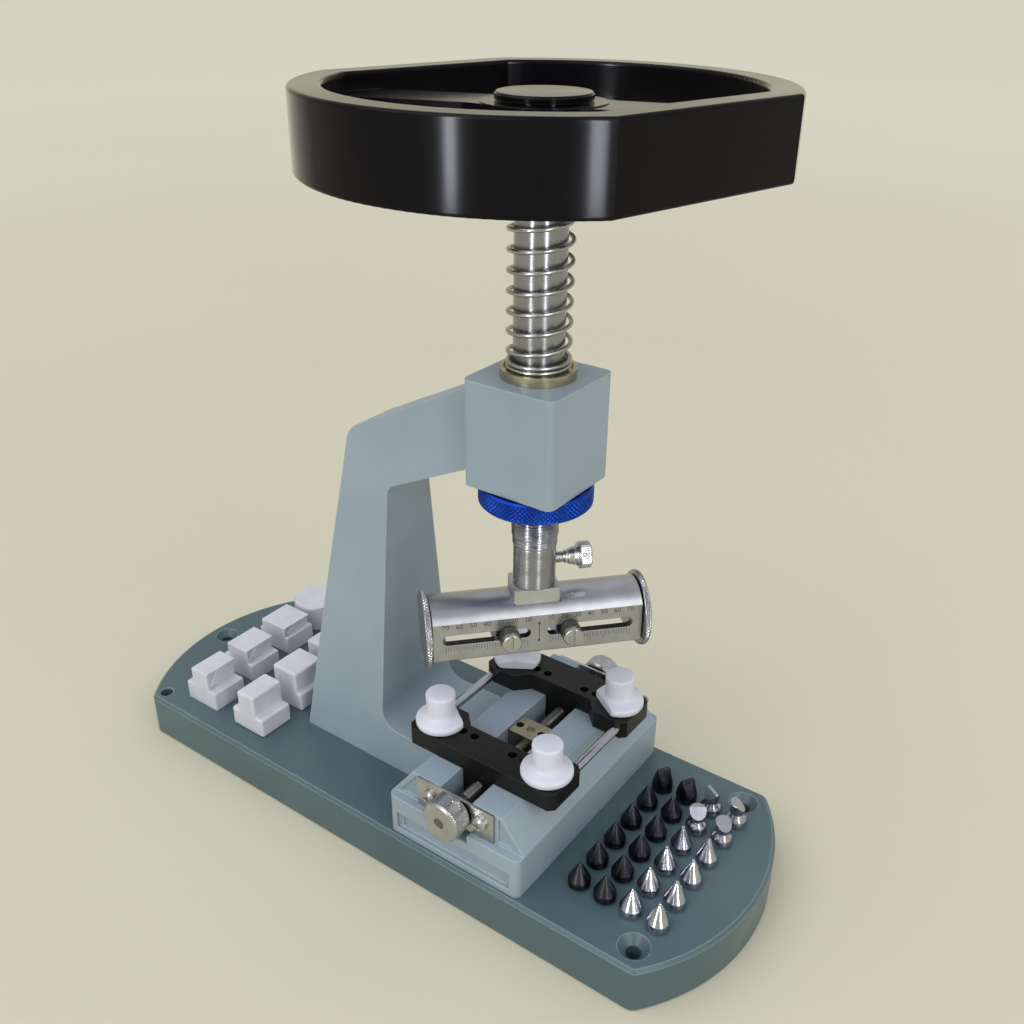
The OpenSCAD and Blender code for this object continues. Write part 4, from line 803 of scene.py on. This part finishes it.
def clamp_lift(u, index, z):
    """Lift for lathe(): a thread on the neck, two rings on the cone (each a bell curve of the distance along
    the axis), and teeth on the head's rim."""
    neck = -CLAMP_DEPTH * (z < NECK_TO) * (z > NECK_FROM) * (1 - wave(z / CLAMP_PITCH - u))
    rings = sum(-RING_DEPTH * np.exp(-((z - at) / RING_W) ** 2) for at in RING_AT)
    return neck + rings + teeth(u, index, z) * (outline[:, :1] > HEAD_R - 0.00045)


grid = along_axis(lathe(outline, 8 * CLAMP_TEETH, clamp_lift), np.array(CHUCK @ Vector((1, 0, 0))))
screw = surface("clamp_screw_knurled", grid, wrap_v=True, caps=True, crease=30)
placed(screw, (0, AXIS_Y, (low.z + high.z) / 2))
dress(screw, nickel, "clamp_group", "nickel_plate", "clamp_screw")

# %% [markdown]
# Two slotted screws clamp the bits in their holders. A finger turns them, so their heads have fine straight
# teeth. Only the teeth are drawn here, as a sleeve round the solid head, which keeps its slot.

# %% Grips of the thumb screws
THUMB_X, THUMB_UP, THUMB_R, THUMB_FROM, THUMB_TO = 0.01065, 0.0007, 0.0033, 0.0100, 0.0139
SLEEVE, THUMB_TEETH = 0.0002, 32
for side_sign, name in ((-1, "left"), (1, "right")):
    ring = dense([(THUMB_R - SLEEVE, THUMB_FROM), (THUMB_R + 0.00005, THUMB_FROM),
                  (THUMB_R + SLEEVE, THUMB_FROM + 0.0002), (THUMB_R + SLEEVE, THUMB_TO - 0.0002),
                  (THUMB_R + 0.00005, THUMB_TO), (THUMB_R - SLEEVE, THUMB_TO)], 0.0002)
    grid = lathe(ring, 6 * THUMB_TEETH, straight(THUMB_TEETH, 0.00022, THUMB_FROM, THUMB_TO, 0.0003))
    grid = along_axis(grid, np.array(CHUCK @ Vector((0, -1, 0))))
    grip = surface(f"{name}_thumb_grip", grid, wrap_u=True, wrap_v=True, crease=30)
    placed(grip, turned(side_sign * THUMB_X, 0, THUMB_UP))
    # The grip is a darker nickel than its head: painted shade in the teeth.
    dress(grip, deep_painted_shade_knurl_nickel, f"{name}_thumb", "nickel_plate")

# %% [markdown]
# The vise screw has a right-hand thread on one half and a left-hand one on the other, so the jaws close
# together: the wave's turn is added on one side and taken away on the other. Its knobs have a fine straight
# knurl, left out round the set screw.

# %% Vise screw and the grips of its knobs
low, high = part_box("vise_lead_screw")
vise_z, screw_r, screw_half = (low.z + high.z) / 2, (high.z - low.z) / 2, high.x
JOURNAL, END_R, VISE_PITCH, VISE_DEPTH, VISE_FROM, VISE_TO = 0.0442, 0.002, 0.0008, 0.00022, 0.0085, 0.0405
half_line = np.concatenate([
    dense([(screw_r, 0.0), (screw_r, JOURNAL - CHAMFER), (screw_r - CHAMFER, JOURNAL)], 0.00018),
    [(END_R, JOURNAL + 0.0001), (END_R, screw_half - CHAMFER), (END_R - CHAMFER, screw_half)]])
outline = np.concatenate([half_line[::-1] * [1, -1], half_line[1:]])


def vise_thread(u, index, z):
    """Lift for lathe(): a thread on both halves, of opposite hand, between the middle block and the plates."""
    inside = np.clip(np.minimum(np.abs(z) - VISE_FROM, VISE_TO - np.abs(z)) / RUN_OUT, 0, 1)
    return -VISE_DEPTH * inside * (1 - wave(np.abs(z) / VISE_PITCH - np.sign(z) * u))


grid = along_axis(lathe(outline, 48, vise_thread), (1, 0, 0))
screw = surface("vise_screw_threaded", grid, wrap_v=True, caps=True)
placed(screw, (0, AXIS_Y, vise_z))
dress(screw, screw_steel, "vise_screw_group", "bright_steel", "vise_lead_screw")

KNOB_R, KNOB_FROM, KNOB_TO, KNOB_TEETH, PROUD = 0.0074, 0.0468, 0.0534, 56, 0.0001
SET_SCREW_TURN, SET_SCREW_AT, SET_SCREW_ROOM, SUNK = math.radians(119), 0.0501, 0.002, 0.0002
ring = dense([(KNOB_R - SUNK, KNOB_FROM), (KNOB_R, KNOB_FROM), (KNOB_R + PROUD, KNOB_FROM + 0.0002),
              (KNOB_R + PROUD, KNOB_TO - 0.0002), (KNOB_R, KNOB_TO), (KNOB_R - SUNK, KNOB_TO)], 0.0003)
teeth = straight(KNOB_TEETH, 0.0003, KNOB_FROM, KNOB_TO, 0.0004)


def knob_lift(u, index, z):
    """Lift for lathe(): straight teeth, sunk below the barrel within 2 mm of the set screw."""
    aside = ((2 * np.pi * u - SET_SCREW_TURN + np.pi) % (2 * np.pi) - np.pi) * KNOB_R
    near = np.hypot(aside, z - SET_SCREW_AT) < SET_SCREW_ROOM
    outer = ring[:, :1] > KNOB_R - PROUD
    return np.where(near & outer, -SUNK, teeth(u, index, z) * outer)


grips = []
for side_sign in (-1, 1):
    grid = along_axis(lathe(ring, 8 * KNOB_TEETH, knob_lift), (1, 0, 0)) * [side_sign, 1, 1]
    grips.append(surface(f"grip_{side_sign}", grid, wrap_u=True, wrap_v=True, crease=30))
grips = joined("vise_knob_grips", grips)
placed(grips, (0, AXIS_Y, vise_z))
dress(grips, nickel, "vise_screw_group", "nickel_plate")

# %% [markdown]
# 24 bits stand in four rows. Each is turned: a short body with a bevelled foot, then a long cone. The last
# ones of a row are cut flat, as blades with two slopes or as half-moons with one. A plane makes each cut:
# what lies beyond it is taken off and the hole is closed with one face. The profiles are in millimetres, from
# the foot up.

# %% Bits
BIT_R, BIT_STEP, ROW_STEP, PLATE_TOP = 0.004, 0.01176, 0.01024, 0.018
low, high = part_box("black_cone_bits")
first_bit = np.array([low.x + BIT_R, high.y - BIT_R])
FOOT = [(3.3, -0.3), (3.3, 0.0), (4.0, 0.8), (4.0, 3.0)]
POINT = np.array(FOOT + [(3.85, 3.3), (0.85, 9.3), (0.6, 9.8), (0.4, 10.0)]) / 1000
WAISTED = np.array(FOOT + [(3.3, 4.1), (2.5, 5.0), (2.4, 5.6), (2.7, 6.6), (3.0, 7.8), (3.1, 9.9),
                           (2.9, 10.1)]) / 1000
CHISEL = np.array(FOOT + [(3.8, 4.2), (3.2, 6.4), (2.6, 9.6), (2.4, 9.8)]) / 1000


def sliced(obj, point, normal):
    """Takes off the part of a closed mesh beyond a plane and closes the cut with one face."""
    work = bmesh.new()
    work.from_mesh(obj.data)
    whole = work.verts[:] + work.edges[:] + work.faces[:]
    cut = bmesh.ops.bisect_plane(work, geom=whole, plane_co=point, plane_no=normal, clear_outer=True)
    bmesh.ops.edgeloop_fill(work, edges=[e for e in cut["geom_cut"] if isinstance(e, bmesh.types.BMEdge)])
    work.to_mesh(obj.data)
    work.free()
    obj.data.set_sharp_from_angle(angle=math.radians(35))
    return obj


def bit(column, row, outline, slopes=(), turn=0.0):
    """One bit on its place. Each slope is (side, offset, lean): a plane this far off the axis at the top, on
    this side of it, that leans by this many degrees."""
    made = surface(f"bit_{column}_{row}", lathe(outline, 40), wrap_v=True, caps=True)
    for side_sign, offset, lean in slopes:
        t, e = math.radians(turn), math.radians(lean)
        out = Vector((side_sign * math.cos(t), side_sign * math.sin(t), 0))
        point = out * offset + Vector((0, 0, outline[-1, 1]))
        sliced(made, point, out * math.cos(e) + Vector((0, 0, math.sin(e))))
    place = first_bit + [column * BIT_STEP, -row * ROW_STEP]
    return placed(made, (place[0], place[1], PLATE_TOP))


def steel_point(column):
    """The pointed profile with a round pin on top that is thicker along the row."""
    pin = 0.00045 + 0.0001 * column
    tip = [(0.0010, 0.0093), (pin + 0.0002, 0.0096), (pin, 0.0099), (pin, 0.0103), (pin * 0.6, 0.0105)]
    return np.concatenate([POINT[:5], tip])


BLADE, MOON = ((-1, 0.0006, 30), (1, 0.0006, 30)), ((1, -0.0008, 48),)
WEDGE = ((-1, 0.0005, 28), (1, 0.0005, 28))
sets = (
    ("black_pointed_bits", blackened, "black_oxide", "black_cone_bits",
     [bit(c, r, POINT) for c in range(5) for r in (0, 1)]),
    ("black_chisel_bits", blackened, "black_oxide", "black_blade_bits",
     [bit(5, r, CHISEL, WEDGE, 60) for r in (0, 1)]),
    ("steel_pointed_bits", bright_steel, "bright_steel", "steel_point_bits",
     [bit(c, r, steel_point(c)) for c in range(4) for r in (2, 3)]),
    ("steel_blade_bits_cut", bright_steel, "bright_steel", "steel_blade_bits",
     [bit(4, 2, WAISTED, MOON, 215), bit(4, 3, WAISTED, MOON, 250)]),
    ("steel_d_bits_cut", bright_steel, "bright_steel", "steel_d_bits",
     [bit(5, 2, WAISTED, BLADE, 150), bit(5, 3, WAISTED, MOON, 300)]),
)
for name, material, slot, node, group in sets:
    dress(joined(name, group), material, "base", slot, node)

# %% [markdown]
# The chuck's scale counts from 10 to 70 outward from the middle on both sides, above its two slots. It reads
# the opening between the two holders, so a count of ten is about five millimetres on each side. Finer lines
# stand below the slots and a double arrow between them. The marks are shallow engravings filled with black,
# so they are drawn as thin dark shapes a few hundredths of a millimetre above the flat.

# %% Scale on the chuck
FRONT, FIRST_MARK, TEN = -0.00963, 0.004, 0.004708
NUMBER_SIZE, NUMBER_UP = 0.0026, 0.0059
flat_turn = CHUCK @ Matrix(((1, 0, 0), (0, 0, -1), (0, 1, 0)))


def on_flat(obj, x, z):
    """Lays a shape drawn in its own XY plane on the chuck's flat front, x along it and z above its middle."""
    obj.data.transform(Matrix.Translation(turned(x, FRONT, z)) @ flat_turn.to_4x4())
    return obj


marks = []
for step in range(1, 8):
    for sign in (-1, 1):
        text = bpy.data.curves.new("number", "FONT")
        text.body = str(step * 10)
        text.size = NUMBER_SIZE
        text.align_x, text.align_y = "CENTER", "CENTER"
        text.resolution_u = 3
        holder = bpy.data.objects.new(f"number_{step}_{sign}", text)
        bpy.context.scene.collection.objects.link(holder)
        bpy.context.view_layer.update()
        shape = bpy.data.meshes.new_from_object(holder.evaluated_get(bpy.context.evaluated_depsgraph_get()))
        bpy.data.objects.remove(holder)
        made = bpy.data.objects.new(f"number_{step}_{sign}", shape)
        bpy.context.scene.collection.objects.link(made)
        marks.append(on_flat(made, sign * (FIRST_MARK + (step - 1) * TEN), NUMBER_UP))


def strip(x, z, width, height):
    """Corners of a thin upright rectangle in the flat's plane."""
    left, right, upper = x - width / 2, x + width / 2, z + height
    return [(left, z), (right, z), (right, upper), (left, upper)]


LINE_W, LONG_LINE, SHORT_LINE, LINES_PER_TEN = 0.00016, (-0.0045, 0.0026), (-0.0036, 0.0017), 5
lines = []
for count in range(6 * LINES_PER_TEN + 1):
    from_z, tall = SHORT_LINE if count % LINES_PER_TEN else LONG_LINE
    for sign in (-1, 1):
        lines.append(strip(sign * (FIRST_MARK + count * TEN / LINES_PER_TEN), from_z, LINE_W, tall))
lines.append(strip(0, -0.0028, 0.0003, 0.0067))
corners = np.array(lines).reshape(-1, 2)
points = np.concatenate([corners, np.zeros((len(corners), 1))], 1)
faces = np.arange(len(corners)).reshape(-1, 4).tolist()
arrow_heads = np.array([[-0.0006, 0.0036, 0], [0.0006, 0.0036, 0], [0, 0.0049, 0],
                        [0.0006, -0.0025, 0], [-0.0006, -0.0025, 0], [0, -0.0038, 0]])
first = len(points)
faces += [[first, first + 1, first + 2], [first + 3, first + 4, first + 5]]
points = np.concatenate([points, arrow_heads])
mesh = bpy.data.meshes.new("ticks")
mesh.from_pydata(points.tolist(), [], faces)
ticks = bpy.data.objects.new("ticks", mesh)
bpy.context.scene.collection.objects.link(ticks)
marks.append(on_flat(ticks, 0, 0))
ticks = joined("chuck_scale", marks)
ticks.data.materials.append(scale_ink)
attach(ticks, "spindle_group")
print("scale faces", len(ticks.data.polygons))

# %% [markdown]
# Real strips have flags, black cards that keep their light off the rest of the set. Light linking does the
# same: a collection says what a lamp lights. The black wheel mirrors only a small part of what it sees, so it
# has its own stronger strips, the other pair lights the turned steel, and the fills leave out paper and wheel.

# %% Flags of the strips and fills
def linked(name, link_state, *names):
    """A collection for light linking in which these objects are all included or all excluded."""
    made = bpy.data.collections.new(name)
    for number, each in enumerate(names):
        made.objects.link(bpy.data.objects[each])
        made.collection_objects[number].light_linking.link_state = link_state
    return made


lit_steel = linked("lit_steel", "INCLUDE", "spindle_bar", "return_spring_wire", "clamp_screw_knurled",
                   "guide_rods", "steel_pointed_bits", "vise_knob_grips", "chuck_discs")
lit_wheel = linked("lit_wheel", "INCLUDE", "handwheel", "hub_cap")
unfilled = linked("left_out_of_the_fill", "EXCLUDE", "paper_floor", "handwheel", "hub_cap", "hub_ring")
for lamps, receivers in ((steel_strips, lit_steel), (wheel_strips, lit_wheel), (fills, unfilled)):
    for each in lamps:
        each.light_linking.receiver_collection = receivers
    print(len(lamps), "lamps use", receivers.name)
